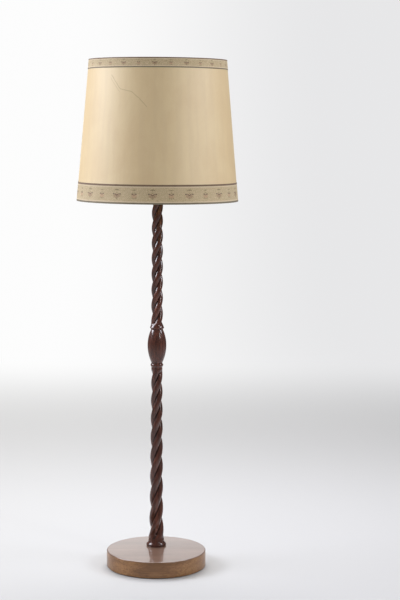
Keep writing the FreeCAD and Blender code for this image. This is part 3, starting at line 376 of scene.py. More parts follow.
def dressed(node, body, material, edge=FINE_EDGE, segments=2):
    """A piece made from a CAD node: its triangles merged, flat faces joined, and its edges eased."""
    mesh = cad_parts[node].data.copy()
    mesh.materials.clear()
    piece = closed(f"{node}_made", mesh, FLAT_ANGLE)
    if edge:
        eased = piece.modifiers.new("eased_edge", "BEVEL")
        eased.width, eased.segments, eased.limit_method = edge, segments, "ANGLE"
        eased.angle_limit = EASED_ANGLE
        eased.harden_normals = True
    placed(piece, body, node, material)


def cast_iron():
    """Black cast iron: a grainy skin with rusty clouds."""
    iron = Finish("cast_iron")
    grain = iron.noise(900.0)
    clouds = iron.noise(40.0, 4.0)
    colour = iron.mix(iron.step(clouds, 0.5, 0.7) * 0.5, 0x343436, 0x5c3e2e)
    return iron.done(colour, 0.62 + grain * 0.2, iron.relief(grain, 0.0004), Metallic=0.4)


def plain_metal(name, clean, dull, roughness):
    """Drawn or turned metal: fine rings of the tool round Z, with duller clouds and fine scratches."""
    metal = Finish(name)
    rings = metal.noise((60.0, 60.0, 5200.0), 2.0)
    clouds = metal.noise(120.0, 4.0, 0.6)
    scratches = metal.noise((1500.0, 900.0, 300.0), 2.0)
    colour = metal.mix(metal.step(clouds, 0.42, 0.72) * 0.7, clean, dull)
    rough = roughness + clouds * 0.18 + scratches * 0.08
    return metal.done(colour, rough, metal.relief(rings + scratches * 0.5, 0.00004, 0.5), Metallic=1.0)


zinc = plain_metal("zinc_plated_steel", 0xbec0c4, 0x8c8e92, 0.22)
dressed("base_weight", "stand", cast_iron(), CAST_EDGE)
for node in ("weight_screws", "pipe_washer", "base_nut"):
    dressed(node, "stand", zinc)


def threaded(name, body, node, material, pitch, depth, bore, floor_hole=None):
    """Tube in place of a CAD node, with a thread of a pitch and depth outside and a plain bore.

    The outside radius falls by a triangle wave of the height less the turn.  The wave has one crest in
    each pitch, and fades out over the last pitch at each end.  With floor_hole, the lower end is turned
    in to a hole of that radius.
    """
    low, high = (corner.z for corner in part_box(node))
    radius = box_radius(node)
    rows = int((high - low) / pitch * THREAD_ROWS) + 1
    height = np.linspace(low, high, rows)[:, None]
    angle = around(THREAD_SIDES)[None, :]
    wave = np.abs(((height / pitch - angle / math.tau) % 1.0) * 2 - 1)
    fade = np.clip(np.minimum(height - low, high - height) / pitch, 0, 1)
    outside = radius - depth * (1 - (1 - wave) * fade)
    inside = [(bore, high), (bore, low)]
    if floor_hole:
        wall = radius - depth - bore
        inside = [(bore, high), (bore, low + wall), (floor_hole, low + wall), (floor_hole, low)]
    flat = np.ones((1, THREAD_SIDES))
    across = np.concatenate([outside] + [flat * reach for reach, _ in inside])
    level = np.concatenate([height + 0 * outside] + [flat * z for _, z in inside])
    threads = surface(name, polar(across, angle, level), wrap_rows=True)
    placed(threads, body, node, material)


TUBE_PITCH = 0.001
TUBE_THREAD_DEPTH = 0.0006
TUBE_WALL = 0.0012
threaded("threaded_tube", "stand", "threaded_pipe", zinc, TUBE_PITCH, TUBE_THREAD_DEPTH,
         box_radius("threaded_pipe") - TUBE_WALL)

# ---------------------------------------------------------------- felt
# A disc of dark green felt, 2 mm thick, glued over the whole underside so that the lamp slides without
# scratching.  Its cut edge is slightly fuzzy and rounded.
FELT_EDGE_ROUND = 0.0006


def felt_cloth():
    """Pressed felt: short crossing fibres in two scales, nearly matt."""
    felt = Finish("felt")
    fibres = felt.noise(2200.0, 4.0, 0.7, 1.5)
    clumps = felt.noise(260.0)
    colour = felt.mix(felt.step(fibres, 0.35, 0.7), 0x262e26, 0x485246)
    colour = felt.mix(clumps * 0.4, colour, 0x323830)
    return felt.done(colour, 0.92, felt.relief(fibres + clumps, 0.0005), Sheen_Weight=0.4)


felt_low, felt_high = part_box("base_felt")
felt_radius = box_radius("base_felt")
felt_rim = (felt_radius, felt_low.z + FELT_EDGE_ROUND)
felt_foot = (felt_radius - FELT_EDGE_ROUND, felt_low.z)
felt_profile = [(0, felt_low.z), felt_foot, felt_rim, (felt_radius, felt_high.z), (0, felt_high.z)]
felt = lathe("felt_disc", felt_profile, disc_centre, DISC_SIDES)
placed(felt, "stand", "base_felt", felt_cloth())

# ---------------------------------------------------------------- outlet bush
# A turned brass bush in the back of the disc, glued into its hole, for the lead.
brass = plain_metal("lacquered_brass", 0xd6b268, 0x96743e, 0.2)
dressed("cord_bush", "stand", brass, FULL_EDGE, segments=3)

# ---------------------------------------------------------------- stem
# Three pieces turned from one dark stained hardwood: the lower twist with its foot and ring, the vase
# knop, and the upper twist with its collar.  The rope of three strands is carved between turned ends,
# and a clear gloss varnish lies over all.
STRANDS = 3
STRAND_FULLNESS = 0.54
RUN_OUT = 0.016             # length over which the grooves run out
RUN_OUT_ROWS = 13
TWIST_ROW = 0.0028
FLAT_GROOVE = 1e-4          # a groove shallower than this counts as none
STRAND_COLUMNS = 24
TENON_RADIUS = 0.0100
FOOT_TENON_RADIUS = 0.0125
FOOT_TENON_LENGTH = 0.022
STEM_TENON_LENGTH = 0.018


class Rope:
    """Rope twist between two heights: three rounds whose common turn grows as they are wound.

    At a height the strands have the radius a = fullness R and stand off the axis by b = R - a.  At an
    angle t from a strand's middle the surface lies at b cos t + sqrt(a^2 - b^2 sin^2 t).  The lead grows
    steadily down the stem, so the turn is 2 pi / growth * ln(lead / lead at the left groove).
    """

    def __init__(self, low, high, groove, top_radius, taper, swell, swell_length, lead_low, lead_high):
        self.low, self.high, self.groove = low, high, groove
        self.top_radius, self.taper = top_radius, taper
        self.swell, self.swell_length = swell, swell_length
        self.lead_low, self.lead_high = lead_low, lead_high

    def radius(self, height):
        """Straight taper, and a swell that grows with the square of the distance near the lower end."""
        into_swell = np.clip((self.low + self.swell_length - height) / self.swell_length, 0, None)
        return self.top_radius + self.taper * (self.high - height) + self.swell * into_swell ** 2

    def turn(self, height):
        """Turn of the first strand in radians, which stays the same past the ends."""
        growth = (self.lead_high - self.lead_low) / (self.high - self.low)
        height = np.clip(height, self.low, self.high)
        lead, at_groove = (self.lead_low + growth * (level - self.low) for level in (height, self.groove))
        return math.pi + math.pi / STRANDS + math.tau / growth * np.log(lead / at_groove)

    def rows(self):
        """Heights of the rows between the ends, closer together where the grooves run out."""
        fine = np.linspace(0, RUN_OUT, RUN_OUT_ROWS)
        middle = self.high - self.low - 2 * RUN_OUT
        coarse = np.linspace(0, middle, round(middle / TWIST_ROW) + 1)[1:-1]
        return np.concatenate([self.low + fine, self.low + RUN_OUT + coarse, self.high - fine[::-1]])

    def section(self, height, angle):
        """Radius and depth of groove at each height and at each angle from the first strand's middle."""
        to_end = np.minimum(height - self.low, self.high - height)
        share = np.clip(1 - to_end / RUN_OUT, 0, 1)
        fullness = STRAND_FULLNESS + (1 - STRAND_FULLNESS) * share * share * (3 - 2 * share)
        strand = (self.radius(height) * fullness)[:, None]
        offset = self.radius(height)[:, None] - strand
        half = math.pi / STRANDS
        from_middle = (angle[None, :] + half) % (2 * half) - half
        out = offset * np.cos(from_middle) + np.sqrt(strand ** 2 - (offset * np.sin(from_middle)) ** 2)
        notch = offset * math.cos(half) + np.sqrt(strand ** 2 - (offset * math.sin(half)) ** 2)
        deepest = self.radius(height)[:, None] - notch
        depth = (self.radius(height)[:, None] - out) / np.maximum(deepest, FLAT_GROOVE)
        return out, np.where(deepest > FLAT_GROOVE, depth, 0.0)


def rope_stem(name, rope, below, above, bore):
    """Stem piece: turned outline below the rope, the rope, turned outline above it, and the bore.

    The columns turn with the rope, so that a line of points lies in each groove.
    """
    angle = around(STRANDS * STRAND_COLUMNS)
    heights = rope.rows()
    out, depth = rope.section(heights, angle)
    low_radius, low_height = np.array(below).T
    high_radius, high_height = np.array(above).T
    bore_height = np.concatenate([[high_height[-1]], heights[::-4], [low_height[0]]])
    height = np.concatenate([low_height, heights, high_height, bore_height])
    flat = np.ones((1, len(angle)))
    radius = np.concatenate([low_radius[:, None] * flat, out, high_radius[:, None] * flat,
                             np.full((len(bore_height), len(angle)), bore)])
    turn = rope.turn(height)[:, None] + angle
    points = polar(radius, turn, height[:, None])
    groove = np.zeros(points.shape[:2], np.float32)
    groove[len(low_height):len(low_height) + len(heights)] = depth
    return surface(name, points, wrap_rows=True, groove=groove)


def stem_varnish():
    """Dark red-brown stain, redder on the crests, with painted shade that darkens the grooves nearly to
    black.
    """
    wood = Finish("stem_wood")
    groove = Term(wood, wood.node("ShaderNodeAttribute", attribute_name="groove").outputs["Fac"])
    grain = wood.noise((170.0, 170.0, 5.0), 4.0, 0.6, 0.3)
    clouds = wood.noise((22.0, 22.0, 9.0))
    pores = wood.step(wood.noise((900.0, 900.0, 26.0), 2.0), 0.62, 0.74)
    colour = wood.mix(wood.step(grain, 0.34, 0.70), 0x42241c, 0x683a2c)
    colour = wood.mix(wood.step(clouds, 0.40, 0.70) * 0.5, colour, 0x341e1b)
    colour = wood.mix(pores * 0.6, colour, 0x1e100d)
    # Painted shade: the colour darkens toward near black with the depth of the groove.
    colour = wood.mix(wood.step(groove, 0.55, 1.0) * 0.8, colour, 0x1a0f0d)
    normal = wood.relief(grain * 0.6 + pores * -0.5, 0.0002, 0.3)
    return wood.done(colour, 0.30 + clouds * 0.16, normal, Coat_Weight=1.0, Coat_Roughness=0.06,
                     Coat_IOR=1.45, Specular_IOR_Level=0.2)


FOOT_SEAT_RADIUS = 0.0300
FOOT_LIP_RADIUS = 0.0312
FOOT_LIP_WIDEST = 0.0038
FOOT_LIP_TOP_RADIUS = 0.0291
FOOT_LIP_HEIGHT = 0.0085
FOOT_HEIGHT = 0.024
FOOT_COVE_DEPTH = 0.0018
RING_RADIUS = 0.0199
RING_HEIGHT = 0.009
RING_NECK_RADIUS = 0.0176
RING_NECK_HEIGHT = 0.0035
RING_COVE_RADIUS = 0.0183
RING_COVE_HEIGHT = 0.007
RING_COVE_DEPTH = 0.0006
LOWER_GROOVE_HEIGHT = 0.317     # above the base, where a groove faces the left
stem_finish = stem_varnish()
base_top = disc_high.z
knop_low, knop_high = (corner.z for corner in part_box("stem_knop"))
foot_top = base_top + FOOT_HEIGHT
ring_top = knop_low - RING_NECK_HEIGHT
ring_low = ring_top - RING_HEIGHT
lower_rope = Rope(foot_top, ring_low - RING_COVE_HEIGHT, base_top + LOWER_GROOVE_HEIGHT, top_radius=0.0175,
                  taper=0.0089, swell=0.0022, swell_length=0.118, lead_low=0.212, lead_high=0.161)
lip_start, lip_end = (FOOT_SEAT_RADIUS, base_top), (FOOT_LIP_TOP_RADIUS, base_top + FOOT_LIP_HEIGHT)
foot = [(FOOT_TENON_RADIUS, base_top - FOOT_TENON_LENGTH), (FOOT_TENON_RADIUS, base_top), lip_start,
        *arc(lip_start, (FOOT_LIP_RADIUS, base_top + FOOT_LIP_WIDEST), lip_end),
        *bulge(lip_end, (lower_rope.radius(foot_top), foot_top), -FOOT_COVE_DEPTH)]
rope_end = (lower_rope.radius(lower_rope.high), lower_rope.high)
head = [rope_end, *bulge(rope_end, (RING_COVE_RADIUS, ring_low), -RING_COVE_DEPTH),
        *arc((RING_COVE_RADIUS, ring_low), (RING_RADIUS, (ring_low + ring_top) / 2),
             (RING_NECK_RADIUS, ring_top)),
        (RING_NECK_RADIUS, knop_low), (TENON_RADIUS, knop_low), (TENON_RADIUS, knop_low + STEM_TENON_LENGTH)]
stem_lower = rope_stem("stem_lower_turned", lower_rope, foot, head, TUBE_BORE)

KNOP_RADIUS = 0.0294
KNOP_BELLY = 0.054
KNOP_LOW_RADIUS = 0.0177
KNOP_HIGH_RADIUS = 0.0187
KNOP_STEPS = 28
KNOP_SOCKET_RADIUS = 0.0101
KNOP_SOCKET_DEPTH = 0.0185


def side(belly, end):
    """Arc from the belly, where it is upright, to the end: radius falls by bend (1 - cos)."""
    drop, reach = belly[0] - end[0], end[1] - belly[1]
    bend = (reach ** 2 + drop ** 2) / (2 * drop)
    angle = math.asin(abs(reach) / bend) * np.arange(1, KNOP_STEPS + 1) / KNOP_STEPS
    return [(belly[0] - bend * (1 - math.cos(a)), belly[1] + math.copysign(bend * math.sin(a), reach))
            for a in angle]


belly = (KNOP_RADIUS, knop_low + KNOP_BELLY)
lower_side = [belly, *side(belly, (KNOP_LOW_RADIUS, knop_low))]
socket_top, socket_floor = knop_low + KNOP_SOCKET_DEPTH, knop_high - KNOP_SOCKET_DEPTH
knop_profile = [(TUBE_BORE, socket_top), (KNOP_SOCKET_RADIUS, socket_top), (KNOP_SOCKET_RADIUS, knop_low),
                *lower_side[::-1], *side(belly, (KNOP_HIGH_RADIUS, knop_high)),
                (KNOP_SOCKET_RADIUS, knop_high), (KNOP_SOCKET_RADIUS, socket_floor),
                (TUBE_BORE, socket_floor)]
knop = lathe("stem_knop_turned", knop_profile)

COLLAR_RADIUS = 0.0219
COLLAR_NECK_RADIUS = 0.0186
COLLAR_NECK_HEIGHT = 0.002
COLLAR_HEIGHT = 0.007
COLLAR_WIDEST = 0.0042
CROWN_RADIUS = 0.0182
CROWN_HEIGHT = 0.016
CROWN_CHAMFER = 0.0015
UPPER_GROOVE_HEIGHT = 0.340     # above the knop, where a groove faces the left
stem_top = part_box("stem_upper")[1].z
neck_top = knop_high + COLLAR_NECK_HEIGHT
crown_low = stem_top - CROWN_HEIGHT
upper_rope = Rope(neck_top + COLLAR_HEIGHT, crown_low, knop_high + UPPER_GROOVE_HEIGHT, top_radius=0.0172,
                  taper=0.0028, swell=0.0026, swell_length=0.014, lead_low=0.154, lead_high=0.136)
collar_start = (COLLAR_NECK_RADIUS, neck_top)
collar = [(TENON_RADIUS, knop_high - STEM_TENON_LENGTH), (TENON_RADIUS, knop_high),
          (COLLAR_NECK_RADIUS, knop_high), collar_start,
          *arc(collar_start, (COLLAR_RADIUS, neck_top + COLLAR_WIDEST),
               (upper_rope.radius(upper_rope.low), upper_rope.low))]
crown = [(CROWN_RADIUS - CROWN_CHAMFER, crown_low), (CROWN_RADIUS, crown_low + CROWN_CHAMFER),
         (CROWN_RADIUS, stem_top - CROWN_CHAMFER), (CROWN_RADIUS - CROWN_CHAMFER, stem_top)]
stem_upper = rope_stem("stem_upper_turned", upper_rope, collar, crown, TUBE_BORE)
for piece, node in ((stem_lower, "stem_lower"), (knop, "stem_knop"), (stem_upper, "stem_upper")):
    placed(piece, "stand", node, stem_finish)

# ---------------------------------------------------------------- brass cup, nut and sleeve
# A spun cup closes the end of the wood, a hexagon nut clamps it on the tube, and a beaded sleeve spaces
# the lampholder above them.
for node in ("brass_cup", "top_nut", "neck_sleeve"):
    dressed(node, "stand", brass)

# ---------------------------------------------------------------- lampholder
# A domed brass cap with a porcelain block for the contacts, and a black moulded shell with two knurled
# rings that clamp the shade's fitter between them.


def porcelain():
    """White porcelain with a thin glaze and faint specks."""
    glaze = Finish("porcelain")
    specks = glaze.step(glaze.noise(1400.0, 2.0), 0.66, 0.74)
    tone = glaze.noise(60.0)
    colour = glaze.mix(specks * 0.4, glaze.mix(tone, 0xece8de, 0xf4f2ec),
                       0x968c78)
    return glaze.done(colour, 0.25 + tone * 0.1, glaze.relief(tone, 0.0002))


def black_moulding():
    """Black phenolic moulding, semi-gloss, with a faint flow pattern and fine rubbing marks."""
    moulding = Finish("black_moulding")
    flow = moulding.noise(90.0, 4.0, 0.6, 1.2)
    rub = moulding.noise((300.0, 300.0, 2400.0), 2.0)
    colour = moulding.mix(flow, 0x1e1b1a, 0x2c2724)
    return moulding.done(colour, 0.26 + rub * 0.2, moulding.relief(rub, 0.00003, 0.5))


moulding = black_moulding()
dressed("holder_cap", "stand", brass)
dressed("grub_screw", "stand", zinc, THIN_EDGE)
dressed("contact_block", "stand", porcelain())
for node in ("terminal_screws", "centre_contact", "side_contact", "screw_shell"):
    dressed(node, "stand", brass, THIN_EDGE)

SHELL_PITCH = 0.003
SHELL_THREAD_DEPTH = 0.0007
SHELL_BORE_RADIUS = 0.0162
threaded("holder_shell_moulded", "stand", "holder_shell", moulding, SHELL_PITCH,
         SHELL_THREAD_DEPTH, SHELL_BORE_RADIUS)
for node in ("shade_ring_lower", "shade_ring_upper"):
    dressed(node, "stand", moulding, SOFT_EDGE)

# ---------------------------------------------------------------- turn switch
# A steel shaft through the side of the cap, with a small fluted knob of the same black moulding.
dressed("switch_shaft", "switch", zinc, THIN_EDGE)
dressed("switch_knob", "switch", moulding, SOFT_EDGE)

# ---------------------------------------------------------------- bulb
# An ordinary bulb, frosted inside, with a rolled aluminium screw cap, a black glass insulator and a
# soldered tip.  A clear glass rod inside carries the coiled filament.
BULB_THREAD_PITCH = 0.003629
BULB_THREAD_DEPTH = 0.0007
BULB_CAP_WALL = 0.0004


def frosted_glass():
    """Clear glass with a fine etched grain."""
    frost = Finish("frosted_glass")
    grain = frost.noise(700.0)
    return frost.done(0xfafaf6, 0.34 + grain * 0.1, frost.relief(grain, 0.00002, 0.4),
                      Transmission_Weight=0.9, IOR=1.45)


def clear_glass():
    """Drawn glass, slightly rippled."""
    glass = Finish("clear_glass")
    ripple = glass.noise(200.0, 2.0)
    return glass.done(0xf6fafa, 0.03 + ripple * 0.03, glass.relief(ripple, 0.00003, 0.4),
                      Transmission_Weight=1.0, IOR=1.5)


def black_glass():
    """Opaque glass, black with a violet tinge."""
    glass = Finish("insulator_glass")
    tone = glass.noise(500.0)
    return glass.done(glass.mix(tone, 0x141218, 0x28222c), 0.12 + tone * 0.1)


dressed("bulb_glass", "bulb", frosted_glass(), edge=0)
dressed("bulb_mount", "bulb", clear_glass(), edge=0)
dressed("bulb_insulator", "bulb", black_glass(), edge=0)
aluminium = plain_metal("bright_aluminium", 0xd6d6d6, 0xb0b0b2, 0.2)
threaded("bulb_cap_rolled", "bulb", "bulb_cap", aluminium, BULB_THREAD_PITCH, BULB_THREAD_DEPTH,
         box_radius("bulb_cap") - BULB_THREAD_DEPTH - BULB_CAP_WALL, floor_hole=box_radius("bulb_insulator"))
dressed("bulb_contact", "bulb_carriage", aluminium)
dressed("bulb_filament", "bulb", zinc, edge=0)

# ---------------------------------------------------------------- shade frame
# A pressed fitter ring on the lampholder, three wire arms down to the lower ring, and a ring at each edge
# of the shade, all in white enamel.
ARM_RADIUS = 0.002
ARM_START = 0.0263
ARM_FIRST_CORNER = 0.033
ARM_FLAT_END = 0.006
ARM_BEND = 0.0048           # length that a bend takes before and after its corner
BEND_STEPS = 8
WIRE_RADIUS = 0.0018
WIRE_SIDES = 12
RING_POINTS = 144


def wire(name, path, side, radius, ring=False):
    """Round wire: a circle about each point of a path, drawn on the side vector and on its square.

    side is a vector across the path, for all points or for each.  ring joins the ends; else they are
    closed by poles.
    """
    along = unit(np.roll(path, -1, 0) - np.roll(path, 1, 0) if ring else np.gradient(path, axis=0))
    side = np.broadcast_to(side, path.shape)
    side = unit(side - (side * along).sum(1, keepdims=True) * along)
    angle = around(WIRE_SIDES)[None, :, None]
    round_wire = path[:, None] + radius * (np.cos(angle) * side[:, None]
                                           + np.sin(angle) * np.cross(along, side)[:, None])
    if not ring:
        ends = [np.broadcast_to(path[end], (1, WIRE_SIDES, 3)) for end in (0, -1)]
        round_wire = np.concatenate([ends[0], round_wire, ends[1]])
    return surface(name, round_wire, wrap_rows=ring)


def white_enamel():
    """White stoved enamel on wire, with a few yellowed and chipped spots."""
    enamel = Finish("white_enamel")
    tone = enamel.noise(80.0)
    chips = enamel.step(enamel.noise(420.0, 2.0), 0.72, 0.76)
    colour = enamel.mix(tone, 0xe2dccc, 0xeeece2)
    colour = enamel.mix(chips, colour, 0x78604c)
    return enamel.done(colour, 0.32 + tone * 0.15, enamel.relief(tone - chips * 0.5, 0.0001))


enamel = white_enamel()
dressed("fitter_ring", "shade", enamel, FULL_EDGE, segments=3)
for node, name in (("shade_bottom_ring", "lower_wire_ring"), ("shade_top_ring", "upper_wire_ring")):
    ring_low, ring_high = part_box(node)
    angle = around(RING_POINTS)
    path = polar(ring_high.x - WIRE_RADIUS, angle, (ring_low.z + ring_high.z) / 2)
    ring = wire(name, path, path * [1, 1, 0], WIRE_RADIUS, ring=True)
    placed(ring, "shade", node, enamel)


def bent_path(corners):
    """Line through corners with each inner corner rounded by a curve from before it to after it."""
    corners = np.array(corners)
    points = [corners[:1]]
    share = np.linspace(0, 1, BEND_STEPS)[:, None]
    for before, corner, after in zip(corners, corners[1:], corners[2:]):
        enter = corner + unit(before - corner) * ARM_BEND
        leave = corner + unit(after - corner) * ARM_BEND
        points.append((1 - share) ** 2 * enter + 2 * share * (1 - share) * corner + share ** 2 * leave)
    return np.concatenate(points + [corners[-1:]])


fitter_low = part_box("fitter_ring")[0].z
lower_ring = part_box("shade_bottom_ring")
lower_ring_height = (lower_ring[0].z + lower_ring[1].z) / 2
arm_end = lower_ring[1].x - 2 * WIRE_RADIUS
arm_height = fitter_low - ARM_RADIUS
arm_corners = [(ARM_START, 0, arm_height), (ARM_FIRST_CORNER, 0, arm_height),
               (arm_end - ARM_FLAT_END, 0, lower_ring_height), (arm_end, 0, lower_ring_height)]
arm_meshes = []
for turn in np.radians([90, 210, 330]):
    reach, _, height = bent_path(arm_corners).T
    path = polar(reach, turn, height)
    arm_meshes.append(wire("arm", path, (-math.sin(turn), math.cos(turn), 0.0), ARM_RADIUS))
joined = bmesh.new()
for arm in arm_meshes:
    joined.from_mesh(arm.data)
    bpy.data.objects.remove(arm)
arms_mesh = bpy.data.meshes.new("fitter_arms_wire")
joined.to_mesh(arms_mesh)
joined.free()
arms = closed("fitter_arms_wire", arms_mesh)
placed(arms, "shade", "fitter_arms", enamel)

# ---------------------------------------------------------------- parchment
# A tapered drum of stiff parchment, rolled and lapped in a seam at the back.  It is varnished to a soft
# sheen, clouded and fibrous, yellowed with age, and has one hairline crease high on the left.
SKIN_THICKNESS = 0.001
SEAM_WIDTH = 0.012
SEAM_LAP = 0.0006
SEAM_ANGLE = math.pi / 2
SEAM_STEP = 0.0004          # way over which the lap rises
SEAM_END = 0.0061           # the lap stops short of the wire rings
SKIN_EDGE = 0.0002
SKIN_ROWS = 30
SKIN_COLUMNS = 192
LEVEL = 1e-5                # points within this height are on one level
CREASE = [(-39.3, 1.523), (-30.3, 1.482), (-20.7, 1.474), (-14.4, 1.455), (-8.4, 1.430)]
CREASE_WIDTH = 0.0018


def rim_radius(node, top):
    """Largest radius of a CAD node at its top or bottom level."""
    co = np.empty(len(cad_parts[node].data.vertices) * 3, np.float32)
    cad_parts[node].data.vertices.foreach_get("co", co)
    co = co.reshape(-1, 3)
    level = co[:, 2].max() if top else co[:, 2].min()
    at_level = co[np.abs(co[:, 2] - level) < LEVEL]
    return float(np.hypot(at_level[:, 0], at_level[:, 1]).max())


skin_low, skin_high = (corner.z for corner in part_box("shade_skin"))
skin_low_radius, skin_high_radius = rim_radius("shade_skin", False), rim_radius("shade_skin", True)


def skin_radius(height):
    """Outside radius of the parchment: a straight taper from the lower rim to the upper one."""
    share = (height - skin_low) / (skin_high - skin_low)
    return skin_low_radius + (skin_high_radius - skin_low_radius) * share


def skin_mesh():
    """Closed wall of the drum: the outside going up and the inside coming down, thicker in the seam."""
    lap = SEAM_WIDTH / 2 / skin_low_radius
    step = SEAM_STEP / skin_low_radius
    seam = SEAM_ANGLE + np.array([-lap - step, -lap, lap, lap + step])
    even = around(SKIN_COLUMNS)
    even = even[np.abs(even - SEAM_ANGLE) > lap + 3 * step]
    angle = np.sort(np.concatenate([even, seam]))
    in_seam = (np.abs(angle - SEAM_ANGLE) < lap + step / 2).astype(float)
    levels = np.concatenate([[skin_low, skin_low + SKIN_EDGE],
                             np.linspace(skin_low, skin_high, SKIN_ROWS)[1:-1],
                             [skin_high - SKIN_EDGE, skin_high]])
    edge = np.minimum(levels - skin_low, skin_high - levels)
    ease = np.where(edge < SKIN_EDGE / 2, SKIN_EDGE, 0.0)
    outer = (skin_radius(levels) - ease)[:, None] + 0 * angle
    lapped = (edge > SEAM_END)[:, None] * in_seam * SEAM_LAP
    inner = (skin_radius(levels) + ease - SKIN_THICKNESS)[:, None] - lapped
    height = np.concatenate([levels, levels[::-1]])
    points = polar(np.concatenate([outer, inner[::-1]]), angle, height[:, None])
    uv = np.append(angle, angle[0] + math.tau) / math.tau, np.append(height, height[0])
    return surface("parchment_drum", points, wrap_rows=True, uv=uv)


def polyline(finish, x, y, corners, width):
    """1 on a line through corners, 0 a width away from it: the least distance to its straight runs."""
    nearest = None
    for (ax, ay), (bx, by) in zip(corners, corners[1:]):
        run, climb = bx - ax, by - ay
        share = ((x - ax) * run + (y - ay) * climb) / (run * run + climb * climb)
        share = finish.math("MINIMUM", finish.math("MAXIMUM", share, 0.0), 1.0)
        away_x, away_y = x - share * run - ax, y - share * climb - ay
        away = finish.math("SQRT", away_x * away_x + away_y * away_y)
        nearest = away if nearest is None else finish.math("MINIMUM", nearest, away)
    return 1.0 - finish.step(nearest, 0.0, width)


def parchment():
    """Aged parchment: cream with tan clouds, short pale fibres, upright rolling marks, and the crease,
    darkened as painted shade.

    The corners of the crease are given in degrees from the front and in height.
    """
    paper = Finish("parchment")
    u, v, _ = paper.parts(paper.uv)
    mean_round = math.tau * (skin_low_radius + skin_high_radius) / 2
    clouds = paper.noise((9.0, 9.0, 6.0), 5.0, 0.6, 0.6)
    rolled = paper.noise((60.0, 60.0, 2.0), 2.0)
    fibres = paper.noise((420.0, 420.0, 90.0), 4.0, 0.7, 2.0)
    colour = paper.mix(paper.step(clouds, 0.30, 0.70), 0xd9bf94, 0xdfc89d)
    colour = paper.mix(paper.step(rolled, 0.40, 0.70) * 0.22, colour, 0xd0b791)
    colour = paper.mix(paper.step(fibres, 0.52, 0.72) * 0.20, colour, 0xead8b8)
    corners = [((angle / 360 - 0.25) % 1.0 * mean_round, height) for angle, height in CREASE]
    wander = paper.noise(90.0, 2.0)
    along = u * mean_round + wander * 0.004 - 0.002
    crease = polyline(paper, along, v, corners, CREASE_WIDTH)
    second = [(x - 0.003, height - 0.008) for x, height in corners[:2]]
    crease = paper.math("MAXIMUM", crease, polyline(paper, along, v, second, 0.0014) * 0.7)
    # Painted shade: the crease and a fainter second line beside it are darkened along their length.
    colour = paper.mix(crease * 0.42, colour, 0x927a54)
    from_seam = u * mean_round - (SEAM_ANGLE / math.tau * mean_round + SEAM_WIDTH / 2)
    seam = 1.0 - paper.step(abs(from_seam), 0.0002, 0.0008)
    colour = paper.mix(seam * 0.5, colour, 0x967850)
    height = fibres * 0.25 + clouds * 0.3 - crease * 1.0 - seam * 0.6
    normal = paper.relief(height, 0.0003, 0.5)
    return paper.done(colour, 0.44 + clouds * 0.12, normal, Specular_IOR_Level=0.8)


skin = skin_mesh()
placed(skin, "shade", "shade_skin", parchment())

# ---------------------------------------------------------------- trims
# A woven ribbon glued round each edge of the shade: a beige ground with a chain of chevron fans, blossoms
# and dots, and a dark cord woven along either edge.
TRIM_GAP = 0.0001
TRIM_THICKNESS = 0.0008
TRIM_FIELD = 0.00055        # thickness between the raised edges
BOTTOM_CORD = 0.0054
TOP_CORD = 0.0034
CORD_STEPS = 9
TRIM_COLUMNS = 240
TRIM_REPEATS = 14
THREAD_WIDTH = 0.0008       # of the ribbon's warp
PICK_WIDTH = 0.0007         # of its weft


def trim_band(name, low, high, cord):
    """Ribbon on the cone: up over a raised cord, a flat field and a second raised cord.

    The heights run up the outside, at offsets from the parchment, and the last row joins the first
    straight down the back.
    """
    share = np.linspace(0, 1, CORD_STEPS)
    raised = TRIM_FIELD + (TRIM_THICKNESS - TRIM_FIELD) * np.sin(share * math.pi)
    height = np.concatenate([[low], low + share * cord, high - cord + share * cord, [high]])
    out = np.concatenate([[0.0], raised, raised, [0.0]]) + TRIM_GAP
    angle = around(TRIM_COLUMNS)
    points = polar((skin_radius(height) + out)[:, None], angle, height[:, None])
    uv = np.linspace(0, 1, TRIM_COLUMNS + 1), np.append(height, low) - low
    return surface(name, points, wrap_rows=True, uv=uv)


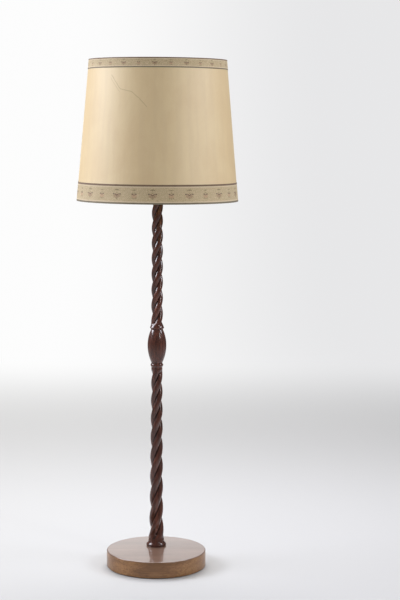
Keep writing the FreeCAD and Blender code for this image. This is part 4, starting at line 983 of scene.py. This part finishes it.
def ribbon(name, width, start, round_length, cord, scale):
    """Woven pattern on (turn, height): fans of nested chevrons, blossoms halfway between them, and dots.

    start is the share of a repeat by which the pattern is turned.  With x and y from the middle of a
    motif, a chevron is |y - (slope |x| + start)| < w, an arch is |y - (top - bend x^2)| < w, and a dot is
    x^2 / a^2 + y^2 / b^2 < 1.
    """
    cloth = Finish(name)
    u, v, _ = cloth.parts(cloth.uv)
    pitch = round_length / TRIM_REPEATS
    turns = u * TRIM_REPEATS + start
    y = v - width / 2
    x_fan = (cloth.math("FRACT", turns) - 0.5) * pitch
    x_blossom = (cloth.math("FRACT", turns + 0.5) - 0.5) * pitch
    x_dot = (cloth.math("FRACT", turns * 2 + 0.5) - 0.5) * (pitch / 2)

    def line(distance, thick):
        return 1.0 - cloth.step(abs(distance), thick * scale * 0.35, thick * scale)

    def within(x, reach):
        return 1.0 - cloth.step(abs(x), reach * scale * 0.85, reach * scale)

    def chevron(x, start, slope, reach, thick):
        return line(y - (abs(x) * slope + start * scale), thick) * within(x, reach)

    def arch(x, top, bend, reach, thick):
        return line(y - (top * scale - x * x * (bend / scale)), thick) * within(x, reach)

    def dot(x, place, half_width, half_height):
        across, up = x / (half_width * scale), (y - place * scale) / (half_height * scale)
        return 1.0 - cloth.step(across * across + up * up, 0.5, 1.3)

    threads = cloth.math("SINE", u * (round_length / THREAD_WIDTH) * math.tau)
    picks = cloth.math("SINE", v * (math.tau / PICK_WIDTH))
    speckle = cloth.noise(480.0, 2.0, 0.7)
    worn = cloth.noise(60.0)
    olive, brown, pink = 0x766842, 0x543c26, 0xbe8c72
    colour = cloth.mix(cloth.step(speckle, 0.35, 0.65), 0xb29e78, 0xd6c29e)
    fan_side = abs(x_fan) - 0.0108 * scale
    blossom_side = abs(x_blossom) - 0.0055 * scale
    for mark, share, tint in (
            (dot(x_fan, -0.0045, 0.0130, 0.0065), 0.40, pink),
            (dot(x_blossom, -0.0050, 0.0090, 0.0065), 0.45, pink),
            (arch(x_fan, 0.0140, 45.0, 0.0080, 0.0021), 0.75, olive),
            (arch(x_blossom, 0.0130, 0.0, 0.0070, 0.0014), 0.55, olive),
            (chevron(x_fan, -0.0085, 0.75, 0.0090, 0.0014), 0.70, brown),
            (chevron(x_fan, -0.0125, 0.70, 0.0130, 0.0014), 0.60, olive),
            (chevron(x_fan, -0.0035, 0.80, 0.0068, 0.0025), 0.95, brown),
            (chevron(x_blossom, -0.0020, 0.45, 0.0060, 0.0018), 0.70, brown),
            (dot(fan_side, 0.0010, 0.0032, 0.0023), 0.85, brown),
            (dot(blossom_side, 0.0012, 0.0028, 0.0021), 0.80, brown),
            (dot(blossom_side, -0.0110, 0.0018, 0.0026), 0.55, olive),
            (dot(x_dot, -0.0120, 0.0020, 0.0020), 0.60, olive),
            (dot(x_dot, 0.0045, 0.0020, 0.0020), 0.60, olive),
            (dot(x_dot, 0.0120, 0.0020, 0.0020), 0.60, olive)):
        colour = cloth.mix(mark * share, colour, tint)
    lower_edge = 1.0 - cloth.step(v, cord * 0.85, cord)
    upper_edge = cloth.step(v, width - cord, width - cord * 0.85)
    lower_line = cloth.step(v, cord, cord * 1.1) - cloth.step(v, cord * 1.5, cord * 1.7)
    upper_line = (cloth.step(v, width - cord * 1.7, width - cord * 1.5)
                  - cloth.step(v, width - cord * 1.1, width - cord))
    colour = cloth.mix((lower_line + upper_line) * 0.6, colour, 0xe8d4b8)
    colour = cloth.mix(lower_edge, colour, cloth.mix(speckle, 0x584e3e, 0x847a66))
    colour = cloth.mix(upper_edge, colour, cloth.mix(speckle, 0x543c2c, 0x7c5e4a))
    colour = cloth.mix(worn * 0.18, colour, 0xd6c6a8)
    weave = threads * picks
    colour = cloth.mix(cloth.step(weave, -1.0, 1.0) * 0.25, colour, 0xaa9a82, "MULTIPLY")
    return cloth.done(colour, 0.7, cloth.relief(weave * 0.5 + speckle * 0.5, 0.0003, 0.6), Sheen_Weight=0.1)


for node, name, start, cord, scale in (("bottom_trim", "lower_ribbon", 0.13, BOTTOM_CORD, 1.0),
                                       ("top_trim", "upper_ribbon", 0.10, TOP_CORD, 0.60)):
    trim_low, trim_high = (corner.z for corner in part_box(node))
    width, round_length = trim_high - trim_low, math.tau * float(skin_radius((trim_low + trim_high) / 2))
    trim = trim_band(name, trim_low, trim_high, cord)
    cloth = ribbon(f"{name}_cloth", width, start, round_length, cord, scale)
    placed(trim, "shade", node, cloth)

# ---------------------------------------------------------------- floor, backdrop and light
# A pale floor that sweeps up into a white backdrop.  Two windows light the lamp from the left and the
# right, a third from behind and above, and two strips draw the thin highlights on the varnish.
FLOOR_FRONT = -7.0
FLOOR_BACK = 5.2
SWEEP_RADIUS = 1.6
WALL_TOP = 6.0
HALF_WIDTH = 9.0


def sweep():
    """Floor, quarter round and wall as one strip from the front edge back and up."""
    turn = np.linspace(0, math.pi / 2, 24)
    y = np.concatenate([[FLOOR_FRONT, -2.0, -0.5, 0.5], FLOOR_BACK + SWEEP_RADIUS * np.sin(turn),
                        [FLOOR_BACK + SWEEP_RADIUS]])
    z = np.concatenate([[0, 0, 0, 0], SWEEP_RADIUS * (1 - np.cos(turn)), [WALL_TOP]])
    x = np.array([HALF_WIDTH, -HALF_WIDTH])
    points = np.stack([x[None, :] + 0 * y[:, None], y[:, None] + 0 * x, z[:, None] + 0 * x], -1)
    index = np.arange(points.shape[0] * 2).reshape(-1, 2)
    quads = np.stack([index[:-1, 0], index[1:, 0], index[1:, 1], index[:-1, 1]], -1)
    mesh = bpy.data.meshes.new("backdrop")
    mesh.from_pydata(points.reshape(-1, 3), [], quads)
    mesh.shade_smooth()
    backdrop = bpy.data.objects.new("backdrop", mesh)
    bpy.context.scene.collection.objects.link(backdrop)
    return backdrop


def backdrop_paint():
    """Grey paint that takes the shadows on the floor, painted lighter to the left as painted light, and
    turns to a white glow behind the lamp.

    The glow is weaker on the right.  What the varnish mirrors of it ends on both sides, so that the edges
    of the stem stay dark.
    """
    paint = Finish("backdrop_paint")
    x, y, _ = paint.parts(paint.place)
    # Painted light: the floor's grey is lighter on the left, where the stronger lamp stands.
    painted_light_grey = paint.mix(paint.step(x, -0.9, 0.6), 0xd1d1d2, 0xc6c6c8)
    diffuse = paint.node("ShaderNodeBsdfDiffuse", {"Color": painted_light_grey})
    path = paint.node("ShaderNodeLightPath")
    mirrored = Term(paint, path.outputs["Is Glossy Ray"])
    seen = Term(paint, path.outputs["Is Camera Ray"]) + mirrored
    seen = paint.math("MINIMUM", seen + Term(paint, path.outputs["Is Transmission Ray"]), 1.0)
    wall = paint.step(y, 0.9, 4.2) * seen
    level = paint.mix(paint.step(x, -0.7, 1.3), (0.98, 0.98, 0.98), (0.80, 0.80, 0.81))
    level = paint.mix(paint.step(abs(x), 0.7, 1.4) * mirrored, level, (0.10, 0.10, 0.10))
    white = paint.node("ShaderNodeEmission", {"Color": level, "Strength": 1.0})
    both = paint.node("ShaderNodeMixShader", {0: wall})
    paint.tree.links.new(diffuse.outputs[0], both.inputs[1])
    paint.tree.links.new(white.outputs[0], both.inputs[2])
    output = paint.node("ShaderNodeOutputMaterial")
    paint.tree.links.new(both.outputs[0], output.inputs[0])
    return paint.material


backdrop = sweep()
backdrop.data.materials.append(backdrop_paint())

AMBIENT = 0.43              # light of the room from every side, for matt surfaces
AMBIENT_GLOSS = 0.12        # what the varnish mirrors of the dark side of the room
world = bpy.data.worlds.new("studio")
bpy.context.scene.world = world
world.use_nodes = True
room, sky = world.node_tree, world.node_tree.nodes["Background"]
sky.inputs["Color"].default_value = (1.0, 0.985, 0.95, 1.0)
seen_in_gloss = room.nodes.new("ShaderNodeMapRange")
seen_in_gloss.inputs["To Min"].default_value = AMBIENT
seen_in_gloss.inputs["To Max"].default_value = AMBIENT_GLOSS
room.links.new(room.nodes.new("ShaderNodeLightPath").outputs["Is Glossy Ray"], seen_in_gloss.inputs["Value"])
room.links.new(seen_in_gloss.outputs[0], sky.inputs["Strength"])


def lamp(name, place, aim_height, width, height, power, spread=180.0, colour=(1.0, 0.995, 0.985)):
    """Rectangular soft lamp, turned to face the stem's axis.  spread is the angle of its beam."""
    light = bpy.data.lights.new(name, "AREA")
    light.shape, light.size, light.size_y, light.energy = "RECTANGLE", width, height, power
    light.spread = math.radians(spread)
    light.color = colour
    holder = bpy.data.objects.new(name, light)
    holder.location = place
    x, y, z = np.array([0.0, 0.0, aim_height]) - place
    holder.rotation_euler = (math.acos(-z / math.hypot(x, y, z)), 0, math.atan2(y, x) - math.pi / 2)
    bpy.context.scene.collection.objects.link(holder)


DAYLIGHT = (0.97, 1.0, 1.10)
lamp("left_window", (-3.3, 0.2, 2.9), 1.35, 2.7, 1.8, power=23, spread=60, colour=DAYLIGHT)
lamp("right_window", (3.2, -0.6, 2.9), 1.35, 1.4, 1.3, power=7.5, spread=60, colour=DAYLIGHT)
lamp("back_window", (0.0, 2.0, 3.5), 0.0, 2.8, 2.0, power=44, spread=110)
lamp("left_strip", (-3.0, 1.2, 3.0), 0.6, 3.4, 0.4, power=14)
lamp("right_strip", (1.67, -1.73, 1.73), 0.9, 0.18, 0.7, power=8)

# ---------------------------------------------------------------- camera
# At eye height, nearly five metres off, looking slightly down.
CAMERA_PLACE = (0.0, -4.801, 1.377)
CAMERA_YAW = 1.595          # degrees to the right
CAMERA_PITCH = 6.439        # degrees down
CAMERA_ROLL = 0.385
CAMERA_LENS = 92.96
view = bpy.data.cameras.new("camera")
view.lens = CAMERA_LENS
camera = bpy.data.objects.new("camera", view)
camera.location = CAMERA_PLACE
camera.rotation_mode = "XYZ"
yaw, pitch, roll = (math.radians(value) for value in (CAMERA_YAW, CAMERA_PITCH, CAMERA_ROLL))
ahead = np.array([math.sin(yaw) * math.cos(pitch), math.cos(yaw) * math.cos(pitch), -math.sin(pitch)])
level = np.array([math.cos(yaw), -math.sin(yaw), 0.0])
upright = np.cross(level, ahead)
right = level * math.cos(roll) + upright * math.sin(roll)
up = upright * math.cos(roll) - level * math.sin(roll)
turned = np.eye(4)
turned[:3, 0], turned[:3, 1], turned[:3, 2], turned[:3, 3] = right, up, -ahead, CAMERA_PLACE
camera.matrix_world = turned.T.tolist()
bpy.context.scene.collection.objects.link(camera)
bpy.context.scene.camera = camera
bpy.context.scene.view_settings.view_transform = "Standard"
